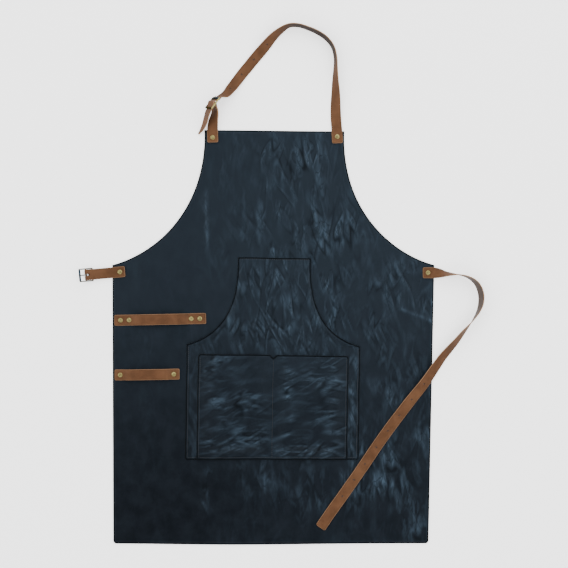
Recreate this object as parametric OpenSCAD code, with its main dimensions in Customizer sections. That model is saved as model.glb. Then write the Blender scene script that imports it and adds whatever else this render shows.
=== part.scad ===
// Leather craft apron with riveted neck and waist straps, two buckles, two tool loops
// and a double pocket sewn on a kangaroo pocket. It lies flat, front up: X to the wearer's
// left, Y to the top of the bib, Z up. The origin is on the back face, level with the waist.

/* [Apron body] */
// Width between the waist corners
body_w = 600; // [590:5:620]
// Width of the top edge of the bib
bib_w = 259; // [250:1:266]
// Height of the bib above the waist corners
bib_h = 252; // [248:1:256]
// Length of the skirt below the waist corners
skirt_h = 520; // [505:5:600]
// Thickness of the apron leather
leather_t = 1.4; // [1.2:0.1:1.6]

/* [Pockets] */
// Width of the kangaroo pocket at its foot
kangaroo_w = 324; // [318:2:326]
// Width of its top edge
kangaroo_top_w = 136; // [120:2:150]
// Height of its top edge above the waist
kangaroo_top = 13; // [5:1:20]
// Width of the double pocket on its front
double_w = 281; // [260:1:284]
// Height of the open top edge of the double pocket
double_top = -169; // [-200:1:-160]
// Thickness of the pocket leather
pocket_t = 1.2; // [1:0.1:1.3]
// Room that a pocket or a tool loop keeps behind it
pocket_gap = 5; // [4.8:0.2:6]

/* [Straps] */
// Width of every strap
strap_w = 20; // [18:0.5:20]
// Thickness of a single strap
strap_t = 1.8; // [1.4:0.2:2]
// Thickness of each layer of a strap folded round a buckle bar
layer_t = 1.4; // [1.2:0.1:1.4]
// Diameter of the adjusting holes
hole_d = 3; // [2.4:0.2:3.4]

/* [Hardware] */
// Diameter of a rivet cap
rivet_d = 8.8; // [8:0.2:10]
// Width of a buckle frame
buckle_w = 24; // [23.6:0.1:25]
// Distance from the middle bar of a buckle to its heel bar and to its roller bar
bar_reach = 12; // [11.8:0.1:12.6]
// Diameter of the buckle bars
bar_d = 2.4; // [2:0.1:2.4]

/* [Hidden] */

$fn = 48;
navy = [0.13, 0.17, 0.22];
navy_pocket = [0.16, 0.21, 0.27];
tan = [0.52, 0.33, 0.21];
brass = [0.66, 0.62, 0.42];
gunmetal = [0.25, 0.27, 0.29];
thread_tone = [0.09, 0.12, 0.16];

// Gap between leather and the piece that turns on it, and a pin's running clearance
turn_gap = 0.3;
pin_play = 0.05;

// ---------- curves ----------
function unit(v) = v / norm(v);
function bezier(p, t) =
    pow(1 - t, 3) * p[0] + 3 * pow(1 - t, 2) * t * p[1] + 3 * (1 - t) * t * t * p[2] + pow(t, 3) * p[3];
function clamp01(x) = min(1, max(0, x));
function mirrored(points) = [for (i = [len(points) - 1:-1:0]) [-points[i][0], points[i][1]]];
function arc(cx, cy, r, a0, a1, steps) =
    [for (i = [0:steps]) let (a = a0 + (a1 - a0) * i / steps) [cx + r * cos(a), cy + r * sin(a)]];

// ---------- apron body ----------
armhole = [[bib_w / 2, bib_h], [bib_w / 2 - 5, bib_h - 140], [body_w / 2 - 87, 23], [body_w / 2, 0]];
armhole_steps = 18;
armhole_line = [for (i = [0:armhole_steps]) bezier(armhole, i / armhole_steps)];
hem_in_left = 2;
hem_in_right = 11;
hem_corner_r = 6;
body_outline = concat(
    armhole_line,
    arc(body_w / 2 - hem_in_right - hem_corner_r, -skirt_h + hem_corner_r, hem_corner_r, 0, -90, 4),
    arc(-body_w / 2 + hem_in_left + hem_corner_r, -skirt_h + hem_corner_r, hem_corner_r, -90, -180, 4),
    mirrored(armhole_line)
);

// ---------- rivets ----------
post_r = 1.6;
cap_h = 1.7;
cap_rim = 0.5;
back_r = 4.2;
back_t = 0.6;
// Tool loop positions: [left end], length, turn about Z, rivet distances from an end
upper_loop = [[-297.5, -103.4], 171, 1.2, [11.5, 27.5]];
lower_loop = [[-297, -205.4], 121, 0.8, [10.5]];
neck_left_rivet = [-114, 238];
neck_right_rivet = [118.5, 239.5];
waist_left_rivet = [-287, -13];
waist_right_rivet = [288, -14.5];
function loop_rivets(loop) = [
    for (d = loop[3])
        for (s = [d, loop[1] - d]) loop[0] + s * [cos(loop[2]), sin(loop[2])]
];
all_rivets = concat(
    loop_rivets(upper_loop), loop_rivets(lower_loop),
    [neck_left_rivet, neck_right_rivet, waist_left_rivet, waist_right_rivet]
);

// Domed cap and its post: seat is the height of the leather under the cap
module rivet_cap(at, seat) {
    dome_r = (rivet_d * rivet_d / 4 + (cap_h - cap_rim) * (cap_h - cap_rim)) / (2 * (cap_h - cap_rim));
    translate([at[0], at[1], seat])
        rotate_extrude()
            union() {
                square([rivet_d / 2, cap_rim]);
                intersection() {
                    translate([0, cap_h - dome_r]) circle(dome_r, $fn = 96);
                    translate([0, cap_rim]) square([rivet_d / 2, cap_h]);
                }
            }
    translate([at[0], at[1], back_t]) cylinder(r = post_r, h = seat - back_t + 0.01);
}

// Flat back disc, let into the back of the body
module rivet_back(at) {
    translate([at[0], at[1], 0]) cylinder(r = back_r, h = back_t);
}

module rivet_bore(at, r) {
    translate([at[0], at[1], -1]) cylinder(r = r, h = 12);
}

// ---------- sheets and ribbons ----------
// A sheet over a grid of [x, y, underside height], t thick, as one closed solid
module sheet(grid, t) {
    rows = len(grid);
    cols = len(grid[0]);
    n = rows * cols;
    points = concat(
        [for (row = grid) for (p = row) p],
        [for (row = grid) for (p = row) p + [0, 0, t]]
    );
    function at(r, c) = r * cols + c;
    under = [for (r = [0:rows - 2]) for (c = [0:cols - 2]) each [
        [at(r, c), at(r, c + 1), at(r + 1, c + 1)],
        [at(r, c), at(r + 1, c + 1), at(r + 1, c)]
    ]];
    over = [for (f = under) [f[2] + n, f[1] + n, f[0] + n]];
    border = concat(
        [for (c = [0:cols - 2]) [at(0, c), at(0, c + 1)]],
        [for (r = [0:rows - 2]) [at(r, cols - 1), at(r + 1, cols - 1)]],
        [for (c = [cols - 1:-1:1]) [at(rows - 1, c), at(rows - 1, c - 1)]],
        [for (r = [rows - 1:-1:1]) [at(r, 0), at(r - 1, 0)]]
    );
    sides = [for (e = border) each [[e[0], e[0] + n, e[1] + n], [e[0], e[1] + n, e[1]]]];
    polyhedron(points, concat(under, over, sides));
}

// Catmull-Rom point between b and c
function spline(a, b, c, d, t) =
    0.5 * (2 * b + (c - a) * t + (2 * a - 5 * b + 4 * c - d) * t * t + (3 * b - a - 3 * c + d) * t * t * t);
function spline_rows(rows, steps) = let (m = len(rows) - 1) [
    for (i = [0:m])
        for (k = [0:(i == m ? 0 : steps - 1)])
            spline(rows[max(i - 1, 0)], rows[i], rows[min(i + 1, m)], rows[min(i + 2, m)], k / steps)
];
// A route row is [x, y, height of the lower edge, tilt, width]. Its ring is
// [centre, way to the raised edge, width], where the tilt lifts the right-hand edge.
function heading(rows, i) =
    unit([for (k = [0, 1]) rows[min(i + 1, len(rows) - 1)][k] - rows[max(i - 1, 0)][k]]);
function route_rings(rows, t) = [
    for (i = [0:len(rows) - 1])
        let (h = heading(rows, i), r = rows[i], a = r[3])
            [
                [r[0], r[1], r[2] + r[4] / 2 * abs(sin(a)) + t / 2 * abs(cos(a))],
                [h[1] * cos(a), -h[0] * cos(a), sin(a)],
                r[4]
            ]
];
// A strap along its rings, t thick, as one closed solid
module ribbon(rings, t) {
    m = len(rings) - 1;
    points = [
        for (i = [0:m])
            let (
                c = rings[i][0],
                side = rings[i][1] * rings[i][2] / 2,
                along = rings[min(i + 1, m)][0] - rings[max(i - 1, 0)][0],
                up = unit(cross(rings[i][1], along)) * t / 2
            )
                each [c + side + up, c - side + up, c - side - up, c + side - up]
    ];
    walls = [
        for (i = [0:m - 1])
            for (k = [0:3])
                let (a = i * 4 + k, b = i * 4 + (k + 1) % 4)
                    each [[a, b, b + 4], [a, b + 4, a + 4]]
    ];
    last = m * 4;
    ends = [[2, 1, 0], [3, 2, 0], [last, last + 1, last + 2], [last, last + 2, last + 3]];
    polyhedron(points, concat(walls, ends));
}

// ---------- pockets ----------
seam = 5;
flank = 13;
kangaroo_foot = -363.5;
kangaroo_side = -150.5;
kangaroo_mouth = [
    [kangaroo_top_w / 2, kangaroo_top], [kangaroo_top_w / 2 - 3, kangaroo_top - 78],
    [kangaroo_w / 2 - 75, kangaroo_side + 20], [kangaroo_w / 2, kangaroo_side]
];
mouth_steps = 9;
kangaroo_rows = concat(
    [for (i = [0:mouth_steps]) bezier(kangaroo_mouth, i / mouth_steps)],
    [for (y = [kangaroo_side - 15, -250, kangaroo_foot + seam + flank, kangaroo_foot + seam, kangaroo_foot])
        [kangaroo_w / 2, y]]
);
// Share of the pocket gap at a distance d from a sewn edge
function puff(d) = clamp01((d - seam) / flank);
function kangaroo_under(x, y) =
    leather_t + pocket_gap * min(
        puff(kangaroo_top + 4 - y), puff(y - kangaroo_foot),
        y > kangaroo_side + 1 ? 1 : puff(kangaroo_w / 2 - abs(x))
    );
function across(half) = [
    -half, -half + seam, -half + seam + flank / 2, -half + seam + flank,
    -half * 0.5, 0, half * 0.5,
    half - seam - flank, half - seam - flank / 2, half - seam, half
];
kangaroo_grid = [
    for (row = kangaroo_rows)
        [for (x = across(kangaroo_w / 2))
            let (px = x * row[0] / (kangaroo_w / 2)) [px, row[1], kangaroo_under(px, row[1])]]
];

// The double pocket lies on the kangaroo pocket, which slopes down to the body at its foot
double_half = double_w / 2;
notch_half = 6;
notch_deep = 6.5;
function double_under(x, y) =
    kangaroo_under(0, y) + pocket_t
    + pocket_gap * min(puff(double_half - abs(x)), puff(abs(x)), puff(y - kangaroo_foot));
double_columns = [
    0, seam, notch_half, seam + flank, 50, 95, double_half - seam - flank, double_half - seam, double_half
];
double_all_columns = concat(
    [for (i = [len(double_columns) - 1:-1:1]) -double_columns[i]], double_columns
);
double_lines = [
    double_top, double_top - 20, -230, -290, kangaroo_foot + seam + flank,
    kangaroo_foot + seam + flank / 2, kangaroo_foot + seam, kangaroo_foot
];
double_grid = [
    for (i = [0:len(double_lines) - 1])
        [for (x = double_all_columns)
            let (y = double_lines[i] - (i == 0 ? notch_deep * clamp01(1 - abs(x) / notch_half) : 0))
                [x, y, double_under(x, y)]]
];

// A run of thread along a list of points, as straight bars
thread_d = 0.8;
module thread_run(points) {
    for (i = [0:len(points) - 2]) {
        a = points[i];
        b = points[i + 1];
        d = b - a;
        translate(a)
            rotate([0, 0, atan2(d[1], d[0])])
                rotate([0, -atan2(d[2], norm([d[0], d[1]])), 0])
                    translate([-thread_d / 2, -thread_d / 2, 0])
                        cube([norm(d) + thread_d, thread_d, 0.4]);
    }
}

// ---------- buckles ----------
// Local frame: the bars run along Y, the heel bar is at +X and the front is +Z
rail_t = 1.5;
rail_h = 2.8;
roller_r = 1.9;
eye_r = 2.3;
prong_r = 0.95;
prong_w = 2.2;
fold_r = bar_d / 2 + 0.1 + layer_t;
fold_run = 9;
prong_tip = [-bar_reach - 2.2, 3.5];
prong_root = [-1.2, 1.25];
prong_rise = atan2(prong_tip[1] - prong_root[1], prong_root[0] - prong_tip[0]);

module bar_along_y(r, w) {
    rotate([90, 0, 0]) cylinder(r = r, h = w, center = true);
}

module buckle_frame() {
    for (s = [-1, 1])
        translate([0, s * (buckle_w - rail_t) / 2, 0]) {
            cube([2 * bar_reach, rail_t, rail_h], center = true);
            for (e = [-1, 1]) translate([e * bar_reach, 0, 0]) bar_along_y(rail_h / 2, rail_t);
        }
    translate([bar_reach, 0, 0]) bar_along_y(bar_d / 2 + 0.1, buckle_w - 1);
    bar_along_y(bar_d / 2, buckle_w - 1);
    translate([-bar_reach, 0, 0]) bar_along_y(bar_d / 2, buckle_w - 1);
}

module buckle_roller() {
    translate([-bar_reach, 0, 0])
        difference() {
            bar_along_y(roller_r, buckle_w - 2 * rail_t - 0.6);
            bar_along_y(bar_d / 2 + pin_play, buckle_w);
        }
}

// A round bar with a domed end, from its foot at the origin along Z
module domed_bar(r, h) {
    rotate_extrude()
        intersection() {
            union() {
                translate([-r, 0]) square([2 * r, h]);
                translate([0, h]) circle(r);
            }
            square([r + 1, h + r + 1]);
        }
}

module buckle_prong() {
    difference() {
        union() {
            bar_along_y(eye_r, prong_w);
            translate([prong_root[0], 0, prong_root[1]])
                rotate([0, -90 + prong_rise, 0])
                    domed_bar(prong_r, norm(prong_tip - prong_root));
        }
        bar_along_y(bar_d / 2 + pin_play, buckle_w);
    }
}

// Slot that lets the prong's eye through a fold
slot_w = prong_w + 1;
module prong_slot() {
    translate([-fold_r - 1, -slot_w / 2, -fold_r - 1]) cube([fold_r + 1 + 7, slot_w, 2 * fold_r + 2]);
}

// Inside of a fold, seen along the bar
module fold_hollow() {
    circle(bar_d / 2 + 0.1);
    polygon([[0, bar_d / 2 + 0.1], [fold_run - 2, 0], [0, -bar_d / 2 - 0.1]]);
}

// ---------- waist straps ----------
// The short strap's frame: origin at its rivet, X out to the buckle
waist_turn = 185.2;
waist_bar = [63, 6];
waist_lie = leather_t + turn_gap;
waist_bend = 14;
short_end = 9.3;
waist_heel_dip = 22;
waist_fold_in = [waist_bar[0] - fold_run, waist_bar[1] - 0.6];
module in_waist_strap() {
    translate([waist_left_rivet[0], waist_left_rivet[1], 0]) rotate([0, 0, waist_turn]) children();
}
module in_waist_buckle() {
    in_waist_strap()
        translate([waist_bar[0], 0, waist_bar[1]])
            rotate([0, 0, 180])
                rotate([0, waist_heel_dip, 0]) children();
}
// Its side view: [distance out, height], two layers thick
module waist_short_side() {
    difference() {
        union() {
            polygon([
                [-short_end, waist_lie], [waist_bend, waist_lie],
                [waist_fold_in[0], waist_fold_in[1] - layer_t], [waist_bar[0], waist_bar[1] - fold_r],
                [waist_bar[0], waist_bar[1] + fold_r], [waist_fold_in[0], waist_fold_in[1] + layer_t],
                [waist_bend, waist_lie + 2 * layer_t], [-short_end, waist_lie + 2 * layer_t]
            ]);
            translate(waist_bar) circle(fold_r);
        }
        translate(waist_bar) mirror([1, 0]) fold_hollow();
    }
}

waist_tail_route = [
    [278.5, -14.5, 0], [288, -14.5, 0], [300, -14.7, 8], [310, -15.3, 34], [319, -16.3, 58],
    [332, -17, 78], [346, -18.3, 90], [362, -22.8, 98], [376, -32.5, 108], [384, -46.5, 114],
    [386.5, -59, 114], [385.5, -73, 110], [381, -86, 101], [371.5, -102, 88], [352.5, -126, 64],
    [340, -142, 53], [327, -157, 44], [314, -172.5, 37], [302, -190, 30], [280, -222, 20],
    [257, -251, 9], [234.5, -280.5, 3], [212.5, -310, 0], [191, -340.5, 0], [170.5, -371, 0],
    [149.5, -401.5, 0], [128, -432, 0], [106.5, -462, 0], [87, -490.5, 0]
];
waist_holes = [for (i = [19:26]) waist_tail_route[i]];
waist_rows = [for (p = waist_tail_route) [p[0], p[1], waist_lie, p[2], strap_w]];
waist_rings = route_rings(spline_rows(waist_rows, 2), strap_t);

// ---------- neck straps ----------
// The neck buckle's frame: the middle of its middle bar, then turn, pitch and roll
neck_bar = [-113.5, 301, 14.8];
neck_turn = -125;
neck_pitch = -14;
neck_roll = 58;
module in_neck_buckle() {
    translate(neck_bar)
        rotate([0, 0, neck_turn])
            rotate([0, neck_pitch, 0])
                rotate([neck_roll, 0, 0]) children();
}
function turn_z(v, a) = [v[0] * cos(a) - v[1] * sin(a), v[0] * sin(a) + v[1] * cos(a), v[2]];
function turn_y(v, a) = [v[0] * cos(a) + v[2] * sin(a), v[1], -v[0] * sin(a) + v[2] * cos(a)];
function turn_x(v, a) = [v[0], v[1] * cos(a) - v[2] * sin(a), v[1] * sin(a) + v[2] * cos(a)];
function neck_way(v) = turn_z(turn_y(turn_x(v, neck_roll), neck_pitch), neck_turn);
function neck_ring(x, z, w) = [neck_bar + neck_way([x, 0, z]), neck_way([0, -1, 0]), w];

neck_long_route = [
    [119, 227.5, 1.4, 0], [118.5, 239.5, 1.4, 0], [118.2, 245, 1.4, 0], [118, 250, 1.4, 0],
    [117, 262, 1.3, 4], [116, 275, 0.6, 10], [115.5, 291, 0.4, 20], [115.5, 306.5, 0.3, 30],
    [115.5, 322.5, 0.3, 40], [115, 338.5, 0.3, 52], [115, 354, 0.3, 63], [115.3, 370, 0.3, 72],
    [115, 386, 0.3, 77], [109.5, 407, 0.3, 84], [96.5, 423, 0.3, 87], [80.5, 433.5, 0.3, 88],
    [63, 441, 0.3, 90], [46, 446, 0.3, 90], [30, 446, 0.3, 88], [13, 436.5, 0.3, 66],
    [-1, 424.5, 0.3, 46], [-12, 412, 0.3, 30], [-24, 398.5, 0.3, 13], [-37, 383.5, 0.3, 3],
    [-48, 370, 0.3, 0], [-59.5, 356, 0.3, -2], [-70, 342, 0.4, -9], [-81, 328, 0.9, -21],
    [-91, 316.5, 2.4, -40]
];
neck_holes = [[-37, 383.5], [-59.5, 356]];
neck_long_rows = [for (p = neck_long_route) [p[0], p[1], p[2], p[3], strap_w]];

// Through the buckle it runs under the roller, over the fold and under the heel bar
under_roller = roller_r + 0.15 + strap_t / 2;
over_fold = fold_r + 0.1 + strap_t / 2;
under_heel = bar_d / 2 + 0.25 + strap_t / 2;
climb = asin((under_roller + over_fold) / bar_reach);
fall = asin((over_fold + under_heel) / bar_reach);
buckle_line = concat(
    [[-bar_reach - 4.5, -under_roller - 0.35]],
    arc(-bar_reach, 0, under_roller, -98, -90 + climb, 3),
    arc(0, 0, over_fold, 90 + climb, 90 - fall, 6),
    arc(bar_reach, 0, under_heel, -90 - fall, -80, 3)
);
neck_tail_route = [
    [-124.5, 277, 5.5, -60, 20], [-127, 268, 3.5, -59, 19], [-130, 260, 1.8, -57, 16],
    [-135, 251, 0.8, -54, 10], [-140.5, 244, 0.5, -50, 2.5]
];
neck_long_rings = concat(
    route_rings(spline_rows(neck_long_rows, 2), strap_t),
    [for (p = buckle_line) neck_ring(p[0], p[1], strap_w)],
    route_rings(neck_tail_route, strap_t)
);

// The short neck strap hangs off the middle bar, turned down from the buckle's own plane
neck_drop = 65;
neck_short_route = [
    [-113.8, 229, 1.4, 0, 20], [-114, 238, 1.4, 0, 20], [-114.2, 246, 1.4, 0, 20],
    [-114.2, 252, 1.4, 0, 20], [-113.4, 262, 1.2, 18, 20], [-111.8, 272, 0.8, 35, 20],
    [-109.8, 280, 0.7, 46, 20]
];
function drop_ring(x) = neck_ring(x * cos(neck_drop), -x * sin(neck_drop), strap_w);
neck_short_rings = concat(
    route_rings(spline_rows(neck_short_route, 2), 2 * layer_t),
    [for (x = [fold_run + 3, fold_run - 0.5])
        let (r = drop_ring(x)) [r[0], r[1], r[2]]]
);

// ---------- pieces ----------
module apron_body() {
    color(navy)
        difference() {
            linear_extrude(leather_t) polygon(body_outline);
            for (at = all_rivets) {
                rivet_bore(at, post_r + pin_play);
                translate([at[0], at[1], -1]) cylinder(r = back_r + pin_play, h = 1 + back_t);
            }
        }
}

module kangaroo_pocket() {
    color(navy_pocket) sheet(kangaroo_grid, pocket_t);
}

module front_pocket() {
    color(navy_pocket) sheet(double_grid, pocket_t);
}

module kangaroo_pocket_thread() {
    z = leather_t + pocket_t;
    side_x = kangaroo_w / 2 - seam + 1;
    color(thread_tone)
        union() {
            for (s = [-1, 1])
                thread_run([
                    [s * side_x, kangaroo_side - 2, z], [s * side_x, kangaroo_foot + seam - 1, z],
                    [s * (double_half + 1), kangaroo_foot + seam - 1, z]
                ]);
            thread_run([
                [-kangaroo_top_w / 2 + 3, kangaroo_top - 2, z + 0.6],
                [kangaroo_top_w / 2 - 3, kangaroo_top - 2, z + 0.6]
            ]);
        }
}

module front_pocket_thread() {
    high = kangaroo_under(0, -200) + 2 * pocket_t;
    low = leather_t + 2 * pocket_t;
    bend = kangaroo_foot + seam + flank + 1;
    side_x = double_half - seam + 1;
    color(thread_tone)
        union() {
            for (x = [-side_x, 0, side_x])
                thread_run([[x, double_top - 8, high], [x, bend, high]]);
            thread_run([[-side_x, kangaroo_foot + seam - 1, low], [side_x, kangaroo_foot + seam - 1, low]]);
        }
}

// A tool loop: its ends lie on the body and its middle stands off it
module tool_loop(loop) {
    flat = max(loop[3]) + 5.5;
    ramp = 8;
    long = loop[1];
    rise = pocket_gap;
    under = [
        [0, 0], [flat, 0], [flat + ramp, rise], [long - flat - ramp, rise], [long - flat, 0], [long, 0]
    ];
    over = [for (i = [len(under) - 1:-1:0]) under[i] + [0, strap_t]];
    difference() {
        translate([loop[0][0], loop[0][1], leather_t])
            rotate([0, 0, loop[2]])
                rotate([90, 0, 0])
                    linear_extrude(strap_w, center = true) polygon(concat(under, over));
        for (at = loop_rivets(loop)) rivet_bore(at, post_r + pin_play);
    }
}

module upper_tool_loop() {
    color(tan) tool_loop(upper_loop);
}

module lower_tool_loop() {
    color(tan) tool_loop(lower_loop);
}

module upper_loop_rivet_caps() {
    color(brass) for (at = loop_rivets(upper_loop)) rivet_cap(at, leather_t + strap_t);
}

module upper_loop_rivet_backs() {
    color(brass) for (at = loop_rivets(upper_loop)) rivet_back(at);
}

module lower_loop_rivet_caps() {
    color(brass) for (at = loop_rivets(lower_loop)) rivet_cap(at, leather_t + strap_t);
}

module lower_loop_rivet_backs() {
    color(brass) for (at = loop_rivets(lower_loop)) rivet_back(at);
}

module neck_strap_short() {
    color(tan)
        difference() {
            union() {
                ribbon(neck_short_rings, 2 * layer_t);
                in_neck_buckle()
                    rotate([0, neck_drop, 0])
                        rotate([90, 0, 0])
                            linear_extrude(strap_w, center = true)
                                difference() {
                                    union() {
                                        circle(fold_r);
                                        polygon([
                                            [0, fold_r], [fold_run, layer_t],
                                            [fold_run, -layer_t], [0, -fold_r]
                                        ]);
                                    }
                                    fold_hollow();
                                }
            }
            in_neck_buckle() rotate([0, neck_drop, 0]) prong_slot();
            rivet_bore(neck_left_rivet, post_r + pin_play);
        }
}

module neck_strap_long() {
    color(tan)
        difference() {
            ribbon(neck_long_rings, strap_t);
            rivet_bore(neck_right_rivet, post_r + pin_play);
            for (p = neck_holes) translate([p[0], p[1], -1]) cylinder(d = hole_d, h = 8);
            in_neck_buckle()
                translate([prong_root[0], 0, prong_root[1]])
                    rotate([0, -90 + prong_rise + 2, 0])
                        cylinder(r = prong_r + 0.6, h = bar_reach - 3);
        }
}

module waist_strap_short() {
    color(tan)
        difference() {
            in_waist_strap()
                rotate([90, 0, 0]) linear_extrude(strap_w, center = true) waist_short_side();
            in_waist_strap()
                translate([waist_bar[0], 0, waist_bar[1]]) mirror([1, 0, 0]) prong_slot();
            rivet_bore(waist_left_rivet, post_r + pin_play);
        }
}

module waist_strap_long() {
    color(tan)
        difference() {
            ribbon(waist_rings, strap_t);
            rivet_bore(waist_right_rivet, post_r + pin_play);
            for (p = waist_holes) translate([p[0], p[1], -1]) cylinder(d = hole_d, h = 14);
        }
}

module neck_left_rivet_cap() {
    color(brass) rivet_cap(neck_left_rivet, leather_t + 2 * layer_t);
}

module neck_left_rivet_back() {
    color(brass) rivet_back(neck_left_rivet);
}

module neck_right_rivet_cap() {
    color(brass) rivet_cap(neck_right_rivet, leather_t + strap_t);
}

module neck_right_rivet_back() {
    color(brass) rivet_back(neck_right_rivet);
}

module waist_left_rivet_cap() {
    color(brass) rivet_cap(waist_left_rivet, waist_lie + 2 * layer_t + turn_gap);
}

module waist_left_rivet_back() {
    color(brass) rivet_back(waist_left_rivet);
}

module waist_right_rivet_cap() {
    color(brass) rivet_cap(waist_right_rivet, waist_lie + strap_t + turn_gap);
}

module waist_right_rivet_back() {
    color(brass) rivet_back(waist_right_rivet);
}

module neck_buckle_frame() {
    color(brass) in_neck_buckle() buckle_frame();
}

module neck_buckle_roller() {
    color(gunmetal) in_neck_buckle() buckle_roller();
}

module neck_buckle_prong() {
    color(brass) in_neck_buckle() buckle_prong();
}

module waist_buckle_frame() {
    color(brass) in_waist_buckle() buckle_frame();
}

module waist_buckle_roller() {
    color(gunmetal) in_waist_buckle() buckle_roller();
}

module waist_buckle_prong() {
    color(brass) in_waist_buckle() buckle_prong();
}

apron_body();
kangaroo_pocket();
front_pocket();
kangaroo_pocket_thread();
front_pocket_thread();
upper_tool_loop();
lower_tool_loop();
upper_loop_rivet_caps();
upper_loop_rivet_backs();
lower_loop_rivet_caps();
lower_loop_rivet_backs();
neck_strap_short();
neck_strap_long();
waist_strap_short();
waist_strap_long();
neck_left_rivet_cap();
neck_left_rivet_back();
neck_right_rivet_cap();
neck_right_rivet_back();
waist_left_rivet_cap();
waist_left_rivet_back();
waist_right_rivet_cap();
waist_right_rivet_back();
neck_buckle_frame();
neck_buckle_roller();
neck_buckle_prong();
waist_buckle_frame();
waist_buckle_roller();
waist_buckle_prong();
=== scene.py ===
import math

import bmesh
import bpy
import numpy as np
from mathutils import Matrix, Vector


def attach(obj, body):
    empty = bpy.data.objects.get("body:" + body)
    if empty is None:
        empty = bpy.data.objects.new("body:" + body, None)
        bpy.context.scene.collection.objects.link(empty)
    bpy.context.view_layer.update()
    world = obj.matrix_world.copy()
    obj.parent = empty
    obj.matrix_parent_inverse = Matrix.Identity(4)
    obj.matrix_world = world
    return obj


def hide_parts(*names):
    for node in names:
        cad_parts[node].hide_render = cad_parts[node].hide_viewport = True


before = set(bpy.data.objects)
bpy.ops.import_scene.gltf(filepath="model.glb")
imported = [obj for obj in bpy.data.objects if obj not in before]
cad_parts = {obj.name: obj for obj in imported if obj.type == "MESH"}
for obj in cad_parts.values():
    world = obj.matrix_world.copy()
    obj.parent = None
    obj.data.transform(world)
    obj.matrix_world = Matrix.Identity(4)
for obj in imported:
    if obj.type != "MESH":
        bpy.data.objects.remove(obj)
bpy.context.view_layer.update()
MM = 0.001

# ---------------------------------------------------------------- camera, floor and light
# Middle and width of what the camera sees, in metres
VIEW_CENTRE = (0.0192, -0.0355)
VIEW_WIDTH = 1.0616
LENS_MM = 85.0
SENSOR_MM = 36.0
# Softboxes: name, place, width and height, watts
SOFTBOXES = [
    ("left_softbox", (-2.5, 0.1, 1.8), (2.2, 4.0), 115),
    ("right_softbox", (2.5, 0.1, 1.8), (2.2, 4.0), 120),
    ("top_softbox", (0.1, 2.6, 1.8), (4.0, 2.2), 136),
    ("low_softbox", (0.1, -2.6, 1.8), (4.0, 2.2), 93),
]


def add_camera():
    """Straight down on the apron, with the bib at the top of the picture."""
    data = bpy.data.cameras.new("camera")
    data.lens = LENS_MM
    data.sensor_width = SENSOR_MM
    camera = bpy.data.objects.new("camera", data)
    bpy.context.collection.objects.link(camera)
    camera.location = (*VIEW_CENTRE, VIEW_WIDTH * LENS_MM / SENSOR_MM)
    bpy.context.scene.camera = camera


def add_area_light(name, place, target, size, watts):
    data = bpy.data.lights.new(name, "AREA")
    data.shape = "RECTANGLE"
    data.size, data.size_y = size
    data.energy = watts
    light = bpy.data.objects.new(name, data)
    bpy.context.collection.objects.link(light)
    light.location = place
    way = Vector(target) - Vector(place)
    light.rotation_euler = way.to_track_quat("-Z", "Y").to_euler()


def add_studio():
    """A pale floor under a bright, even room, and softboxes that catch the wrinkles."""
    bpy.ops.mesh.primitive_plane_add(size=14, location=(0, 0, -0.0003))
    floor = bpy.context.object
    floor.name = "floor"
    floor.data.materials.append(floor_material())
    world = bpy.data.worlds.new("room")
    bpy.context.scene.world = world
    world.use_nodes = True
    back = world.node_tree.nodes["Background"]
    back.inputs["Color"].default_value = (0.93, 0.96, 1.0, 1.0)
    back.inputs["Strength"].default_value = 0.2
    for name, place, size, watts in SOFTBOXES:
        add_area_light(name, place, (0, -0.04, 0), size, watts)


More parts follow.
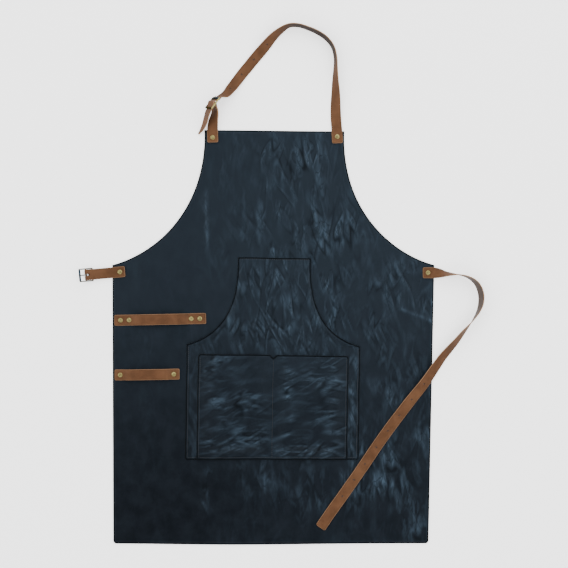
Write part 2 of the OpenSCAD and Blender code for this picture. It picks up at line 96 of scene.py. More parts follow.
# ---------------------------------------------------------------- materials
class Nodes:
    """A short way to write a node tree."""

    def __init__(self, name):
        self.material = bpy.data.materials.new(name)
        self.material.use_nodes = True
        self.tree = self.material.node_tree
        self.shader = self.tree.nodes["Principled BSDF"]

    def add(self, kind, inputs=None, **settings):
        node = self.tree.nodes.new(kind)
        for key, value in settings.items():
            setattr(node, key, value)
        for key, value in (inputs or {}).items():
            self.put(node.inputs[key], value)
        return node

    def put(self, socket, value):
        if isinstance(value, bpy.types.NodeSocket):
            self.tree.links.new(value, socket)
        else:
            socket.default_value = value

    def set(self, **values):
        for key, value in values.items():
            self.put(self.shader.inputs[key.replace("_", " ")], value)

    def coords(self, scale, turn=0.0):
        """Object coordinates, in cells per metre along X, Y and Z, turned about Z."""
        place = self.add("ShaderNodeTexCoord").outputs["Object"]
        turned = self.add("ShaderNodeMapping", {"Vector": place, "Rotation": (0, 0, turn)})
        return self.add("ShaderNodeMapping", {"Vector": turned.outputs[0], "Scale": scale}).outputs[0]

    def noise(self, scale, detail=3.0, rough=0.55, warp=0.0, turn=0.0):
        inputs = {
            "Vector": self.coords(scale, turn), "Scale": 1.0, "Detail": detail,
            "Roughness": rough, "Distortion": warp,
        }
        return self.add("ShaderNodeTexNoise", inputs).outputs["Fac"]

    def pebbles(self, scale):
        """Rounded grain: the distance from the middle of each random cell."""
        inputs = {"Vector": self.coords(scale), "Scale": 1.0}
        return self.add("ShaderNodeTexVoronoi", inputs, feature="F1").outputs["Distance"]

    def ridge(self, scale, turn, width):
        """Thin branching lines, 1 on the line and 0 beside it."""
        level = self.noise(scale, 1.6, 0.5, 0.5, turn)
        return self.ramp(self.math("ABSOLUTE", self.math("SUBTRACT", level, 0.5)), width, 0.0)

    def ramp(self, value, low, high, to_low=0.0, to_high=1.0):
        inputs = {
            "Value": value, "From Min": low, "From Max": high, "To Min": to_low, "To Max": to_high
        }
        return self.add("ShaderNodeMapRange", inputs, interpolation_type="SMOOTHSTEP").outputs[0]

    def math(self, operation, a, b=0.0):
        return self.add("ShaderNodeMath", {0: a, 1: b}, operation=operation).outputs[0]

    def times(self, a, b):
        return self.math("MULTIPLY", a, b)

    def mix(self, factor, a, b):
        node = self.add("ShaderNodeMix", data_type="RGBA")
        colours = [s for s in node.inputs if s.type == "RGBA"]
        self.put(node.inputs["Factor"], factor)
        self.put(colours[0], a)
        self.put(colours[1], b)
        return next(s for s in node.outputs if s.type == "RGBA")

    def attribute(self, name):
        return self.add("ShaderNodeAttribute", attribute_name=name).outputs["Fac"]

    def bump(self, layers):
        """Bumps stacked one on the other: (height, strength, depth in metres)."""
        normal = None
        for height, strength, depth in layers:
            inputs = {"Height": height, "Strength": strength, "Distance": depth}
            if normal is not None:
                inputs["Normal"] = normal
            normal = self.add("ShaderNodeBump", inputs).outputs[0]
        self.put(self.shader.inputs["Normal"], normal)


def rgb(r, g, b):
    """A colour given in screen values from 0 to 255."""
    def linear(c):
        c /= 255
        return c / 12.92 if c <= 0.04045 else ((c + 0.055) / 1.055) ** 2.4
    return (linear(r), linear(g), linear(b), 1.0)


def floor_material():
    """A white light table, so that shadows on it stay faint."""
    n = Nodes("pale_floor")
    n.set(Base_Color=(0.92, 0.92, 0.92, 1.0), Roughness=0.9, Specular_IOR_Level=0.1)
    n.set(Emission_Color=(1.0, 1.0, 1.0, 1.0), Emission_Strength=1.2)
    return n.material


def navy_leather(name, lean=0.0):
    """Waxed navy leather with a pebble grain: painted highlight on its ridges, painted shade in its
    creases, and a painted light falloff towards the top and right.

    lean turns the fine painted highlight wisps from upright, in degrees."""
    n = Nodes(name)
    turn = -math.radians(lean)
    place = n.add("ShaderNodeSeparateXYZ", {0: n.add("ShaderNodeTexCoord").outputs["Object"]})
    # Painted light falloff: the leather is lighter towards the top, and a little towards the right
    to_right = n.ramp(place.outputs[0], -0.20, 0.10)
    to_top = n.ramp(place.outputs[1], -0.50, 0.10)
    # Painted highlight: the light attribute lifts the crease ridges and facets to a paler blue, broken
    # up into fine wisps
    light = n.attribute("light")
    wisps = n.noise((150, 42, 80), 3.0, 0.55, 0.5, turn)
    highlight_wisp = n.times(light, n.ramp(wisps, 0.36, 0.62, 0.35, 1.0))
    # Painted shade: thin dark crack lines where the leather is lifted, joined to the dark attribute in
    # the creases
    line = n.math(
        "MAXIMUM", n.ridge((52, 15, 30), turn - 0.33, 0.03), n.ridge((66, 20, 30), turn + 0.26, 0.03)
    )
    line = n.times(line, n.ramp(light, 0.05, 0.4))
    dark = n.math("MAXIMUM", n.attribute("dark"), n.times(line, 0.7))
    mottle = n.noise((34, 28, 30), 7.0, 0.68, 0.3)
    ground = n.mix(n.ramp(mottle, 0.32, 0.68), rgb(11, 14, 18), rgb(17, 21, 26))
    painted_light_falloff = n.math("ADD", n.times(to_top, 0.6), n.times(to_right, 0.15))
    ground = n.mix(painted_light_falloff, ground, rgb(30, 37, 44))
    ground = n.mix(highlight_wisp, ground, rgb(57, 71, 84))
    # Painted shade mixed into the creases and crack lines
    ground = n.mix(n.times(dark, 0.75), ground, rgb(6, 8, 10))
    edge = n.attribute("edge_mm")
    # A lighter line along the crease near the edge: painted highlight on the crease's lip
    crease = n.times(n.ramp(edge, 2.8, 3.3), n.ramp(edge, 4.4, 3.8))
    here = n.ramp(n.noise((16, 16, 16), 2.0), 0.42, 0.62, 0.0, 0.35)
    ground = n.mix(n.times(crease, here), ground, rgb(30, 38, 47))
    # A near-black band along the cut edge: edge paint, widened so that on the pockets it also stands as
    # painted shadow along their edges
    ground = n.mix(n.ramp(edge, 2.6, 1.5, 0.0, 0.95), ground, rgb(2, 3, 4))
    rough = n.math("SUBTRACT", n.ramp(mottle, 0.25, 0.75, 0.33, 0.41), n.times(highlight_wisp, 0.06))
    n.set(Base_Color=ground, Roughness=rough)
    n.set(Specular_Tint=(0.80, 0.91, 1.0, 1.0), Specular_IOR_Level=0.06)
    n.bump([
        (n.times(wisps, light), 0.6, 0.0010),
        (line, 0.6, -0.0004),
        (crease, 0.5, -0.0004),
        (n.noise((420, 260, 300), 3.0, 0.6), 0.25, 0.0002),
        (n.pebbles((900, 900, 900)), 0.2, 0.00016),
    ])
    return n.material


def edge_paint():
    """Black paint on the cut edges of the navy leather."""
    n = Nodes("navy_edge_paint")
    tone = n.mix(n.noise((300, 300, 300)), rgb(3, 4, 6), rgb(9, 12, 15))
    n.set(Base_Color=tone, Roughness=0.5)
    n.bump([(n.noise((500, 500, 900)), 0.3, 0.0002)])
    return n.material


def navy_flesh():
    """The fibrous back of the navy leather."""
    n = Nodes("navy_flesh")
    fibre = n.noise((700, 500, 500), 6.0, 0.7)
    tone = n.mix(n.noise((40, 40, 40)), rgb(20, 24, 29), rgb(32, 37, 43))
    tone = n.mix(n.ramp(fibre, 0.4, 0.7), tone, rgb(44, 50, 57))
    n.set(Base_Color=tone, Roughness=0.88, Sheen_Weight=0.15)
    n.bump([(fibre, 0.5, 0.0005)])
    return n.material


def tan_leather():
    """Waxed tan leather, with a creased line and a paler rim along its edges."""
    n = Nodes("tan_leather")
    mottle = n.noise((55, 55, 55), 5.0, 0.6, 0.4)
    cloud = n.noise((14, 14, 14), 2.0)
    tone = n.mix(n.ramp(mottle, 0.3, 0.7), rgb(72, 48, 31), rgb(86, 58, 39))
    tone = n.mix(n.ramp(cloud, 0.45, 0.7, 0.0, 0.4), tone, rgb(98, 68, 46))
    scuff = n.ramp(n.noise((160, 380, 200), 4.0, 0.7, 1.0, 0.6), 0.64, 0.78, 0.0, 0.35)
    tone = n.mix(scuff, tone, rgb(112, 80, 56))
    # Painted shade: the strap is darkened where it stands steep over the neck
    tone = n.mix(n.times(n.attribute("painted_shade"), 0.92), tone, rgb(22, 13, 7))
    edge = n.attribute("edge_mm")
    line = n.times(n.ramp(edge, 1.0, 1.5), n.ramp(edge, 2.2, 1.7))
    tone = n.mix(n.times(line, 0.25), tone, rgb(40, 24, 13))
    tone = n.mix(n.ramp(edge, 1.2, 0.3, 0.0, 0.75), tone, rgb(122, 92, 66))
    pores = n.pebbles((1100, 1100, 1100))
    n.set(Base_Color=tone, Roughness=n.ramp(mottle, 0.25, 0.75, 0.52, 0.64), Specular_IOR_Level=0.07)
    n.bump([
        (n.noise((200, 200, 200), 4.0, 0.6), 0.3, 0.0003),
        (line, 0.5, -0.0003),
        (pores, 0.3, 0.00018),
    ])
    return n.material


def tan_edge():
    """Raw cut edge: pale, with the layers of fibre along it."""
    n = Nodes("tan_cut_edge")
    fibre = n.noise((220, 220, 1800), 4.0, 0.6)
    tone = n.mix(fibre, rgb(104, 74, 50), rgb(160, 126, 96))
    n.set(Base_Color=tone, Roughness=0.75, Specular_IOR_Level=0.2)
    n.bump([(fibre, 0.5, 0.0002)])
    return n.material


def tan_flesh():
    """The flesh side of the straps: dark brown and fibrous."""
    n = Nodes("tan_flesh")
    fibre = n.noise((500, 700, 600), 6.0, 0.7)
    tone = n.mix(fibre, rgb(34, 20, 11), rgb(60, 39, 24))
    n.set(Base_Color=tone, Roughness=0.86, Sheen_Weight=0.1)
    n.bump([(fibre, 0.5, 0.0004)])
    return n.material


def metal(name, dark, bright, rough_low, rough_high):
    """Plated metal, dark in its hollows and rubbed bright on its high spots."""
    n = Nodes(name)
    wear = n.noise((350, 350, 350), 4.0, 0.65)
    scratch = n.noise((2200, 260, 2200), 2.0, 0.6, 0.0, 0.5)
    high = n.ramp(n.add("ShaderNodeNewGeometry").outputs["Pointiness"], 0.49, 0.56)
    bright_at = n.math("MAXIMUM", n.ramp(wear, 0.42, 0.62), high)
    tone = n.mix(bright_at, dark, bright)
    n.set(Base_Color=tone, Metallic=1.0, Roughness=n.ramp(scratch, 0.3, 0.7, rough_low, rough_high))
    n.set(Specular_Tint=(0.45, 0.43, 0.38, 1.0))
    n.bump([(scratch, 0.12, 0.0001), (wear, 0.2, 0.00012)])
    return n.material


def thread_material():
    """Dark navy thread, with its ply as a fine slanting wave."""
    n = Nodes("thread")
    inputs = {"Vector": n.coords((900, 900, 900), 0.6), "Scale": 1.0, "Distortion": 1.0}
    ply = n.add("ShaderNodeTexWave", inputs).outputs["Fac"]
    n.set(Base_Color=n.mix(ply, rgb(4, 5, 7), rgb(12, 16, 20)), Roughness=0.62)
    n.bump([(ply, 0.5, 0.0002)])
    return n.material


add_camera()
add_studio()
NAVY = navy_leather("navy_leather")
NAVY_POCKET = navy_leather("navy_pocket_leather", 3)
NAVY_DOUBLE = navy_leather("navy_double_leather", -80)
NAVY_EDGE = edge_paint()
NAVY_FLESH = navy_flesh()
TAN = tan_leather()
TAN_EDGE = tan_edge()
TAN_FLESH = tan_flesh()
BRASS = metal("antique_brass", rgb(104, 96, 60), rgb(150, 140, 92), 0.42, 0.55)
DARK_BRASS = metal("dark_brass", rgb(12, 11, 8), rgb(50, 46, 30), 0.34, 0.48)
GUNMETAL = metal("gunmetal", rgb(18, 24, 30), rgb(46, 58, 68), 0.34, 0.48)
THREAD = thread_material()


# ---------------------------------------------------------------- noise and curves, in millimetres
def gradient_noise(x, y, seed):
    """Smooth seeded noise from about -1 to 1, one cell per unit."""
    rng = np.random.default_rng(seed)
    angle = rng.uniform(0, 2 * math.pi, (128, 128))
    x, y = np.asarray(x, float) + 64.0, np.asarray(y, float) + 64.0
    x0, y0 = np.floor(x).astype(int), np.floor(y).astype(int)
    fx, fy = x - x0, y - y0
    sx, sy = fx**3 * (fx * (fx * 6 - 15) + 10), fy**3 * (fy * (fy * 6 - 15) + 10)

    def corner(dx, dy):
        a = angle[(x0 + dx) % 128, (y0 + dy) % 128]
        return np.cos(a) * (fx - dx) + np.sin(a) * (fy - dy)

    low = corner(0, 0) * (1 - sx) + corner(1, 0) * sx
    high = corner(0, 1) * (1 - sx) + corner(1, 1) * sx
    return (low * (1 - sy) + high * sy) * 1.5


def smooth(value, low, high):
    t = np.clip((value - low) / (high - low), 0, 1)
    return t * t * (3 - 2 * t)


def leaning_noise(x, y, across, along, lean, seed):
    """Noise in long cells that lean from the Y axis by an angle in degrees."""
    a = math.radians(lean)
    u = x * math.cos(a) + y * math.sin(a)
    v = -x * math.sin(a) + y * math.cos(a)
    u = u + 0.45 * across * gradient_noise(u / (3 * across), v / along, seed + 1)
    return gradient_noise(u / across, v / along, seed)


# Families of creases: lean in degrees, cell width and length in millimetres, strength
CREASE_FAMILIES = [(20, 18, 95, 1.0), (-14, 15, 70, 0.85), (5, 9, 34, 0.6)]
# Creases of each panel: lean in degrees, first seed
BODY_CREASES = (2, 110)
KANGAROO_CREASES = (3, 220)
DOUBLE_CREASES = (-80, 330)


def crumple(x, y, lean, seed):
    """Crumpled leather: creases that cross at a narrow angle, each with a ridge along one side.

    Returns the height, the painted highlight on the ridges and facets, and the painted shade in the
    creases, each from 0 to about 1."""
    height = np.zeros(np.shape(x))
    light, dark = height, height
    for k, (turn, across, along, strength) in enumerate(CREASE_FAMILIES):
        level = leaning_noise(x, y, across, along, lean + turn, seed + 10 * k)
        shown = strength * smooth(gradient_noise(x / 34, y / 48, seed + 10 * k + 5), -0.3, 0.35)
        valley = shown * np.exp(-(level / 0.09) ** 2)
        ridge = shown * np.exp(-((level - 0.26) / 0.15) ** 2)
        height = height + ridge - 0.7 * valley
        light, dark = np.maximum(light, ridge), np.maximum(dark, valley)
    # The facets between the creases get a painted highlight too
    facet = smooth(leaning_noise(x, y, 14, 44, lean + 3, seed + 40), 0.0, 0.6)
    return height, np.clip(0.5 * facet + 0.8 * light, 0, 1), dark


def bezier(p, t):
    p = np.array(p, float)
    t = np.asarray(t, float)[..., None]
    return (1 - t) ** 3 * p[0] + 3 * (1 - t) ** 2 * t * p[1] + 3 * (1 - t) * t**2 * p[2] + t**3 * p[3]


def even_bezier(p, step):
    """Points at an even spacing along a Bezier curve, both ends included."""
    fine = bezier(p, np.linspace(0, 1, 2000))
    run = np.r_[0, np.cumsum(np.linalg.norm(np.diff(fine, axis=0), axis=1))]
    at = np.linspace(0, run[-1], max(2, int(round(run[-1] / step)) + 1))
    return np.c_[np.interp(at, run, fine[:, 0]), np.interp(at, run, fine[:, 1])]


def drawn_in(distance, r):
    """How far a corner of radius r draws an edge in, at a distance from the corner's end."""
    inside = np.clip(r - distance, 0, r)
    return r - np.sqrt(r * r - inside**2)


def corner_rows(foot, r, count):
    """Heights of the rows of a grid within a corner of radius r, down to the foot."""
    return foot + r * (1 - np.sin(np.linspace(0, math.pi / 2, count + 1)[1:]))


def distance_to_line(x, y, line):
    """Distance of each point from an open line of points."""
    best = np.full(np.shape(x), 1e9)
    for a, b in zip(line[:-1], line[1:]):
        d = b - a
        t = np.clip(((x - a[0]) * d[0] + (y - a[1]) * d[1]) / max(d @ d, 1e-9), 0, 1)
        best = np.minimum(best, np.hypot(x - a[0] - t * d[0], y - a[1] - t * d[1]))
    return best


# ---------------------------------------------------------------- meshes
def new_object(name, points, faces, materials, indices):
    """A mesh object from points in millimetres; indices are its faces' places in materials."""
    mesh = bpy.data.meshes.new(name)
    mesh.from_pydata((np.asarray(points, float) * MM).tolist(), [], faces)
    for m in materials:
        mesh.materials.append(m)
    mesh.polygons.foreach_set("material_index", np.asarray(indices, np.int32))
    mesh.polygons.foreach_set("use_smooth", np.full(len(mesh.polygons), True))
    mesh.update()
    obj = bpy.data.objects.new(name, mesh)
    bpy.context.collection.objects.link(obj)
    return obj


def add_attribute(obj, name, values):
    layer = obj.data.attributes.new(name, "FLOAT", "POINT")
    layer.data.foreach_set("value", np.asarray(values, np.float32))


def bevel(obj, width, segments, angle):
    modifier = obj.modifiers.new("round_edges", "BEVEL")
    modifier.width = width * MM
    modifier.segments = segments
    modifier.limit_method = "ANGLE"
    modifier.angle_limit = math.radians(angle)
    modifier.use_clamp_overlap = True


def leather_panel(name, x, y, top, under, edge, face):
    """A closed panel over a grid, with materials for its face, its cut edge and its back."""
    rows, cols = x.shape
    count = rows * cols
    points = np.concatenate([
        np.stack([x, y, top], -1).reshape(-1, 3), np.stack([x, y, under], -1).reshape(-1, 3)
    ])
    at = np.arange(count).reshape(rows, cols)
    quads = np.stack([at[:-1, :-1], at[:-1, 1:], at[1:, 1:], at[1:, :-1]], -1).reshape(-1, 4)
    rim = np.concatenate([at[0, :], at[1:, -1], at[-1, -2::-1], at[-2:0:-1, 0]])
    after = np.roll(rim, -1)
    walls = np.stack([rim, rim + count, after + count, after], -1)
    faces = np.concatenate([quads, quads[:, ::-1] + count, walls])
    a, b, c = points[quads[0, 0]], points[quads[0, 1]], points[quads[0, 2]]
    if np.cross(b - a, c - a)[2] < 0:
        faces = faces[:, ::-1]
    kinds = np.r_[np.zeros(len(quads)), np.full(len(quads), 2), np.ones(len(walls))]
    obj = new_object(name, points, faces.tolist(), [face, NAVY_EDGE, NAVY_FLESH], kinds)
    add_attribute(obj, "edge_mm", np.tile(edge.reshape(-1), 2))
    bevel(obj, 0.35, 2, 50)
    return obj


def add_painted_sheen_and_shade(panel, light, dark):
    """Painted highlight and painted shade over a panel's grid, for its leather material."""
    add_attribute(panel, "light", np.tile(light.reshape(-1), 2))
    add_attribute(panel, "dark", np.tile(dark.reshape(-1), 2))


def unit(v):
    v = np.asarray(v, float)
    return v / np.linalg.norm(v, axis=-1, keepdims=True)


def moved(matrix, points):
    """Points moved by a 4x4 matrix."""
    m = np.array(matrix)
    return np.asarray(points, float) @ m[:3, :3].T + m[:3, 3]


def turned(axis, degrees):
    return Matrix.Rotation(math.radians(degrees), 4, axis)


class Pile:
    """Collects swept and turned solids, in millimetres, into one object."""

    def __init__(self):
        self.points, self.faces, self.marks = [], [], []

    def rings(self, rings, closed=False, mark=0):
        """Joins rings of equal length into a tube, capped unless it closes on itself."""
        first, sides = len(self.points), len(rings[0])
        for ring in rings:
            self.points.extend(np.asarray(ring, float).tolist())
        count = len(rings)
        for i in range(count if closed else count - 1):
            for k in range(sides):
                a, b = first + i * sides, first + (i + 1) % count * sides
                self.faces.append((a + k, a + (k + 1) % sides, b + (k + 1) % sides, b + k))
                self.marks.append(mark)
        if not closed:
            last = first + (count - 1) * sides
            self.faces.append(tuple(first + k for k in range(sides - 1, -1, -1)))
            self.faces.append(tuple(last + k for k in range(sides)))
            self.marks += [mark, mark]

    def sweep(self, path, sizes, up, power=2.0, sides=16, matrix=None, mark=0):
        """A rounded bar along a path; sizes are its half widths across and up at each point."""
        path = np.array(path, float)
        along = unit(np.gradient(path, axis=0))
        across = unit(np.cross(along, np.broadcast_to(np.array(up, float), along.shape)))
        lift = np.cross(across, along)
        a = np.linspace(0, 2 * math.pi, sides, False)
        s = np.sign(np.cos(a)) * np.abs(np.cos(a)) ** (2 / power)
        h = np.sign(np.sin(a)) * np.abs(np.sin(a)) ** (2 / power)
        rings = [c + np.outer(s * w, x) + np.outer(h * t, z)
                 for c, x, z, (w, t) in zip(path, across, lift, sizes)]
        if matrix is not None:
            rings = [moved(matrix, r) for r in rings]
        self.rings(rings, mark=mark)

    def bar(self, start, end, half, up=(0, 0, 1), power=2.0, sides=20, matrix=None, mark=0,
            round_end=0.6):
        """A straight bar with rounded ends; half is its half widths across and up."""
        start, end, half = np.array(start, float), np.array(end, float), np.array(half, float)
        way = unit(end - start)
        path, sizes = [], []
        for tip, sense, order in ((start, 1, 1), (end, -1, -1)):
            steps = [(0.0, 0.25), (0.15, 0.65), (0.5, 0.9), (1.0, 1.0)][::order]
            for run, share in steps:
                path.append(tip + way * sense * run * round_end)
                sizes.append(half - (1 - share) * min(half.min(), round_end))
        self.sweep(path, sizes, up, power, sides, matrix, mark=mark)

    def lathe(self, outline, matrix, sides=40, closed=False, mark=0):
        """Turns an outline of (radius, height) round the Z axis of a matrix."""
        a = np.linspace(0, 2 * math.pi, sides, False)
        circle = np.c_[np.cos(a), np.sin(a), np.zeros(sides)]
        rings = [moved(matrix, circle * r + (0, 0, h)) for r, h in outline]
        self.rings(rings, closed, mark)

    def object(self, name, materials):
        obj = new_object(name, self.points, self.faces, materials, self.marks)
        mesh = bmesh.new()
        mesh.from_mesh(obj.data)
        bmesh.ops.recalc_face_normals(mesh, faces=mesh.faces)
        mesh.to_mesh(obj.data)
        mesh.free()
        return obj


class Ribbon:
    """A strap: rings with a centre, a way across, a way up out of the grain side, and a width."""

    def __init__(self, centres, across, widths):
        self.c = np.array(centres, float)
        self.s = unit(across)
        self.w = np.array(widths, float)

    def normals(self):
        return unit(np.cross(self.s, np.gradient(self.c, axis=0)))

    def run(self):
        return np.r_[0, np.cumsum(np.linalg.norm(np.diff(self.c, axis=0), axis=1))]

    def even(self, step):
        """The same ribbon as a smooth curve with rings at an even spacing."""
        run = self.run()
        at = np.linspace(0, run[-1], int(round(run[-1] / step)) + 1)
        k = np.clip(np.searchsorted(run, at, side="right") - 1, 0, len(run) - 2)
        long = run[k + 1] - run[k]
        t = ((at - run[k]) / long)[:, None]
        long = long[:, None]

        def hermite(values):
            slope = np.gradient(values, run, axis=0)
            return (
                (2 * t**3 - 3 * t**2 + 1) * values[k] + (t**3 - 2 * t**2 + t) * long * slope[k]
                + (3 * t**2 - 2 * t**3) * values[k + 1] + (t**3 - t**2) * long * slope[k + 1]
            )

        return Ribbon(hermite(self.c), hermite(self.s), hermite(self.w[:, None])[:, 0])

    def nearest(self, x, y):
        """Centre and grain normal of the ring nearest to a place in plan."""
        i = int(np.argmin(np.hypot(self.c[:, 0] - x, self.c[:, 1] - y)))
        return self.c[i], self.normals()[i]


def strap_profile(width, thick, columns=12):
    """A strap's section as (across, up), and for each side a mark: 0 grain, 1 cut edge, 2 flesh."""
    half, r = width / 2, 0.32 * thick
    flat = np.linspace(-half + r, half - r, columns + 1)
    crown = 0.07 * thick * (1 - (flat / half) ** 4)
    top = [(s, thick / 2 - 0.07 * thick + c) for s, c in zip(flat, crown)]
    low = [(s, -thick / 2) for s in flat[::-1]]
    side = [(half - 0.3 * r, thick / 2 - 0.45 * r), (half, thick / 2 - 1.2 * r),
            (half, -thick / 2 + r), (half - 0.3 * r, -thick / 2 + 0.3 * r)]
    other = [(-s, h) for s, h in side][::-1]
    points = np.array(top + side + low + other)
    marks = [0] * (columns + 1) + [1] * 4 + [2] * columns + [1] * 4 + [0]
    return points, marks[:len(points)]


def strap_object(name, ribbon, thick, corner, painted_shade=None):
    """A closed strap along a ribbon.

    corner is the corner radius at its first and last end, and its last argument how much painted shade
    darkens each ring."""
    run, normals = ribbon.run(), ribbon.normals()
    widths = ribbon.w.copy()
    for r, d in ((corner[0], run), (corner[1], run[-1] - run)):
        widths -= 2 * drawn_in(d, r)
    full = float(ribbon.w.max())
    profile, marks = strap_profile(full, thick)
    pile = Pile()
    edges, rings = [], []
    for c, s, n, w in zip(ribbon.c, ribbon.s, normals, widths):
        rings.append(c + np.outer(profile[:, 0] * w / full, s) + np.outer(profile[:, 1], n))
        edges.append(w / 2 - np.abs(profile[:, 0]) * w / full)
    pile.rings(rings)
    pile.marks = marks * (len(rings) - 1) + [1, 1]
    obj = pile.object(name, [TAN, TAN_EDGE, TAN_FLESH])
    from_end = np.repeat(np.minimum(run, run[-1] - run), len(profile))
    add_attribute(obj, "edge_mm", np.minimum(np.concatenate(edges), from_end))
    if painted_shade is not None:
        add_attribute(obj, "painted_shade", np.repeat(painted_shade, len(profile)))
    return obj


def cut(obj, cutter):
    """Cuts a pile of solids out of a closed mesh; the walls of the cuts are raw edge."""
    tool = cutter.object("cutter", [TAN, TAN_EDGE, TAN_FLESH])
    modifier = obj.modifiers.new("cut", "BOOLEAN")
    modifier.operation = "DIFFERENCE"
    modifier.solver = "EXACT"
    modifier.object = tool
    graph = bpy.context.evaluated_depsgraph_get()
    mesh = bpy.data.meshes.new_from_object(obj.evaluated_get(graph))
    obj.modifiers.clear()
    obj.data = mesh
    bpy.data.objects.remove(tool)


CUTTER_REACH = 6.0


def peg(pile, place, way, radius, spans=((-CUTTER_REACH, CUTTER_REACH),), mark=1):
    """Round cutters along a way through a place, one for each (low, high) span."""
    turn = Vector(way).to_track_quat("Z", "Y").to_matrix().to_4x4()
    matrix = Matrix.Translation(Vector(place)) @ turn
    for low, high in spans:
        pile.lathe([(radius, low), (radius, high)], matrix, 24, mark=mark)


def pricked_hole(pile, place, way):
    """A buckle hole that was never opened up: a web of fibre is left halfway through."""
    spans = ((WEB_T / 2, CUTTER_REACH), (-CUTTER_REACH, -WEB_T / 2))
    peg(pile, place, way, HOLE_R, spans, 2)


def settle(piece, body, node):
    """Which body a piece rides on, and which CAD node it stands for."""
    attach(piece, body)
    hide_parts(node)


# ---------------------------------------------------------------- apron body
LEATHER_T = 1.4
BIB_W = 259.0
BIB_H = 252.0
BODY_W = 600.0
SKIRT_H = 520.0
HEM_IN_LEFT = 2.0
HEM_IN_RIGHT = 11.0
HEM_CORNER_R = 6.0
BIB_LEAN = 2.4
SKIRT_OUT = 1.5
GRID = 2.2
LEAST_AIR = 0.12
ARMHOLE = [(BIB_W / 2, BIB_H), (BIB_W / 2 - 5, BIB_H - 140), (BODY_W / 2 - 87, 23), (BODY_W / 2, 0)]

# Height of the leather under the loops' rivet caps
LOOP_SEAT = 3.2
UPPER_LOOP = dict(start=(-297.5, -103.4), length=171.0, turn=1.2, rivets=(11.5, 27.5))
LOWER_LOOP = dict(start=(-297.0, -205.4), length=121.0, turn=0.8, rivets=(10.5,))
# Each strap's rivet: its place, and the height of the leather under its cap
STRAP_RIVETS = {
    "neck_left": ((-114.0, 238.0), 4.2), "neck_right": ((118.5, 239.5), 3.2),
    "waist_left": ((-287.0, -13.0), 4.8), "waist_right": ((288.0, -14.5), 3.8),
}


def loop_places(loop, insets=None):
    """Places on a loop at some distances in from both of its ends: its rivets, unless given."""
    a = math.radians(loop["turn"])
    x, y = loop["start"]
    runs = [r for d in insets or loop["rivets"] for r in (d, loop["length"] - d)]
    return [(x + r * math.cos(a), y + r * math.sin(a)) for r in runs]


RIVETS = loop_places(UPPER_LOOP) + loop_places(LOWER_LOOP) + [p for p, _ in STRAP_RIVETS.values()]


def body_rows():
    """Height, left edge and right edge of each row of the body, from the bib down to the hem."""
    curve = even_bezier(ARMHOLE, GRID * 1.3)
    skirt = np.linspace(0, -SKIRT_H + HEM_CORNER_R, int(SKIRT_H / GRID))[1:]
    y = np.r_[curve[:, 1], skirt, corner_rows(-SKIRT_H, HEM_CORNER_R, 5)]
    half = np.r_[curve[:, 0], np.full(len(y) - len(curve), BODY_W / 2)]
    down = np.clip(-y / SKIRT_H, 0, 1)
    rounding = drawn_in(y + SKIRT_H, HEM_CORNER_R)
    left = -half + HEM_IN_LEFT * down + rounding
    right = half - HEM_IN_RIGHT * down - rounding
    return y, left, right


def grid_between(y, left, right, columns):
    """A grid of places between the left and right edge of each row."""
    share = np.linspace(0, 1, columns + 1)
    x = left[:, None] + (right - left)[:, None] * share
    return x, np.repeat(y[:, None], columns + 1, 1)


def rim_of(x, y):
    """The closed outline of a grid of places, back to its first corner."""
    places = np.stack([x, y], -1)
    return np.concatenate([places[:, 0], places[-1, 1:], places[-2::-1, -1], places[0, -2::-1]])


def near(x, y, spots):
    """Sum of soft round spots of (x, y, radius across, radius along, strength)."""
    total = np.zeros(np.shape(x))
    for cx, cy, rx, ry, strength in spots:
        total += strength * np.exp(-((x - cx) / rx) ** 2 - ((y - cy) / ry) ** 2)
    return total


# Places where the body's creases and their painted highlight and shade are strongest: (x, y, radius
# across, radius along, strength)
BODY_SPOTS = [
    (66, 205, 9, 34, 1.0), (82, 205, 9, 40, 0.7), (-1, 232, 9, 16, 0.6), (-21, 204, 8, 18, 0.7),
    (9, 118, 7, 22, 0.9), (-13, 139, 6, 12, 0.6), (-21, 90, 7, 16, 0.8), (-124, 86, 5, 34, 1.0),
    (121, 80, 9, 24, 0.8), (77, 92, 9, 22, 0.6), (98, -18, 10, 28, 1.0), (0, 30, 7, 16, 0.7),
    (74, 12, 6, 12, 0.8), (100, 56, 9, 26, 0.6), (150, 60, 30, 50, 0.35), (60, 150, 60, 70, 0.35),
    (110, -85, 12, 30, 0.5), (265, -75, 30, 14, 0.5), (196, -110, 12, 34, 0.6),
    (225, -230, 14, 60, 0.45), (215, -345, 40, 26, 0.7), (185, -395, 30, 30, 0.8),
    (245, -395, 22, 34, 0.5), (60, -440, 40, 30, 0.5), (-118, -385, 9, 10, 0.9),
    (-127, -436, 6, 20, 1.0), (-20, -410, 40, 24, 0.35), (-235, -150, 8, 14, 0.3),
]


